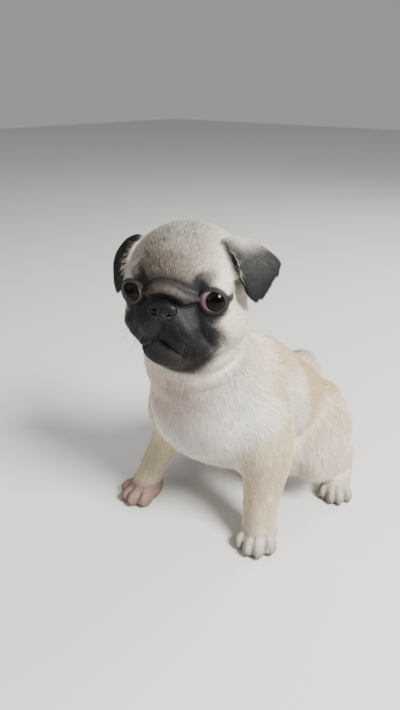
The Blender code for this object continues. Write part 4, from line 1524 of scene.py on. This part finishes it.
def makeWhiskers():
    draw = np.random.default_rng(5)
    forward = turned(headFrame, np.array([[0.0, -1.0, 0.0]]))[0]
    parts = []
    for key in ("muzzle", "cheek", "brow", "chin"):
        middle, half, count, length, ahead = hairLook[key]
        for side in (1, -1):
            for _ in range(count):
                x, z = np.array(middle) + draw.uniform(-1, 1, 2) * half
                start = outOf(headFrame, np.array([[side * x, -90, z]]))[0]
                hit, facing, _, _ = skinTree.ray_cast(Vector(start), Vector(-forward))
                if hit is None:
                    continue
                outward = unit(np.array(hit) - headMiddle)
                heading = np.array(facing) + ahead * forward * 0.6 + outward * 0.6
                heading = unit(heading + draw.normal(0, 0.12, 3))
                droop = np.array([0, 0, -1]) * draw.uniform(0.25, 0.55)
                reach = length * draw.uniform(0.6, 1.1) * mm
                steps = np.linspace(0, 1, 7)[:, None]
                path = np.array(hit) - heading * 0.6 * mm + heading * reach * steps
                path = path + droop * reach * steps**2
                radii = hairLook["thick"] * mm * (1 - 0.85 * steps[:, 0])
                parts.append(sweep(path, radii, 4))
    return joinedMesh("whiskers", parts, hornMaterial("whisker_hair"))


def makeFringe():
    # cream hairs of the cheek that cross the dark front edge of each ear
    draw = np.random.default_rng(9)
    line = curveThrough(earEdge, 40)
    parts = []
    for side in (1, -1):
        for _ in range(fringeLook["count"]):
            place = line[int(draw.integers(4, len(line) - 12))] * (side, 1, 1)
            start = place + (-side * draw.uniform(1.5, 4.5), -6, draw.uniform(-1, 1))
            start = Vector(outOf(headFrame, start[None])[0])
            hit, facing, _, _ = skinTree.ray_cast(start, headFrame.to_3x3() @ Vector((0, 1, 0)))
            if hit is None:
                continue
            heading = turned(headFrame, np.array([[side * 1.0, -0.45, -0.75]]))[0]
            heading = unit(heading + draw.normal(0, 0.18, 3))
            reach = fringeLook["length"] * draw.uniform(0.6, 1.1) * mm
            steps = np.linspace(0, 1, 4)[:, None]
            rise = np.array(facing) * mm
            path = np.array(hit) - rise * 0.5 + heading * reach * steps + rise * steps
            parts.append(sweep(path, fringeLook["thick"] * mm * (1 - 0.8 * steps[:, 0]), 3))
    return joinedMesh("ear_fringe", parts, hornMaterial("fringe_hair"))


fringe = makeFringe()
claws = makeClaws()
whiskers = makeWhiskers()
print("claws and whiskers made")


# Floor, a plain sky and soft studio light

studioLook = {
    "floor": "#D9D7D2",
    "lights": {
        # place in metres, size, watts
        "key": ((0.95, -0.1, 1.05), 0.5, 52.0),
        "fill": ((-0.5, -1.0, 0.7), 0.9, 2.5),
        "rim": ((0.1, 1.0, 0.9), 0.6, 8.0),
    },
    "sky": ("#E4E8EC", 0.42),
}


def makeFloor():
    material, tree, shader = newMaterial("pale_floor")
    shader.inputs["Base Color"].default_value = toLinear(studioLook["floor"])
    shader.inputs["Roughness"].default_value = 0.85
    bpy.ops.mesh.primitive_plane_add(size=8)
    floor = bpy.context.object
    floor.name = "floor"
    floor.data.materials.append(material)


def makeLights():
    for name, (place, size, watts) in studioLook["lights"].items():
        data = bpy.data.lights.new(name, "AREA")
        data.shape = "DISK"
        data.size = size
        data.energy = watts
        light = newObject(name, data)
        light.location = place
        light.rotation_euler = (Vector((0, 0, 0.12)) - Vector(place)).to_track_quat("-Z", "Y").to_euler()
    world = bpy.data.worlds.new("sky")
    world.use_nodes = True
    background = world.node_tree.nodes["Background"]
    background.inputs["Color"].default_value = toLinear(studioLook["sky"][0])
    background.inputs["Strength"].default_value = studioLook["sky"][1]
    bpy.context.scene.world = world


makeFloor()
makeLights()
print("floor and lights set")

for side, name in ((1, "eye_left"), (-1, "eye_right")):
    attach(eyes[side], "root")
    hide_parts(name)
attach(nose, "root")
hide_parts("nose")
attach(claws, "root")
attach(fringe, "root")
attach(whiskers, "root")
for obj in coatPieces:
    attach(obj, "root")
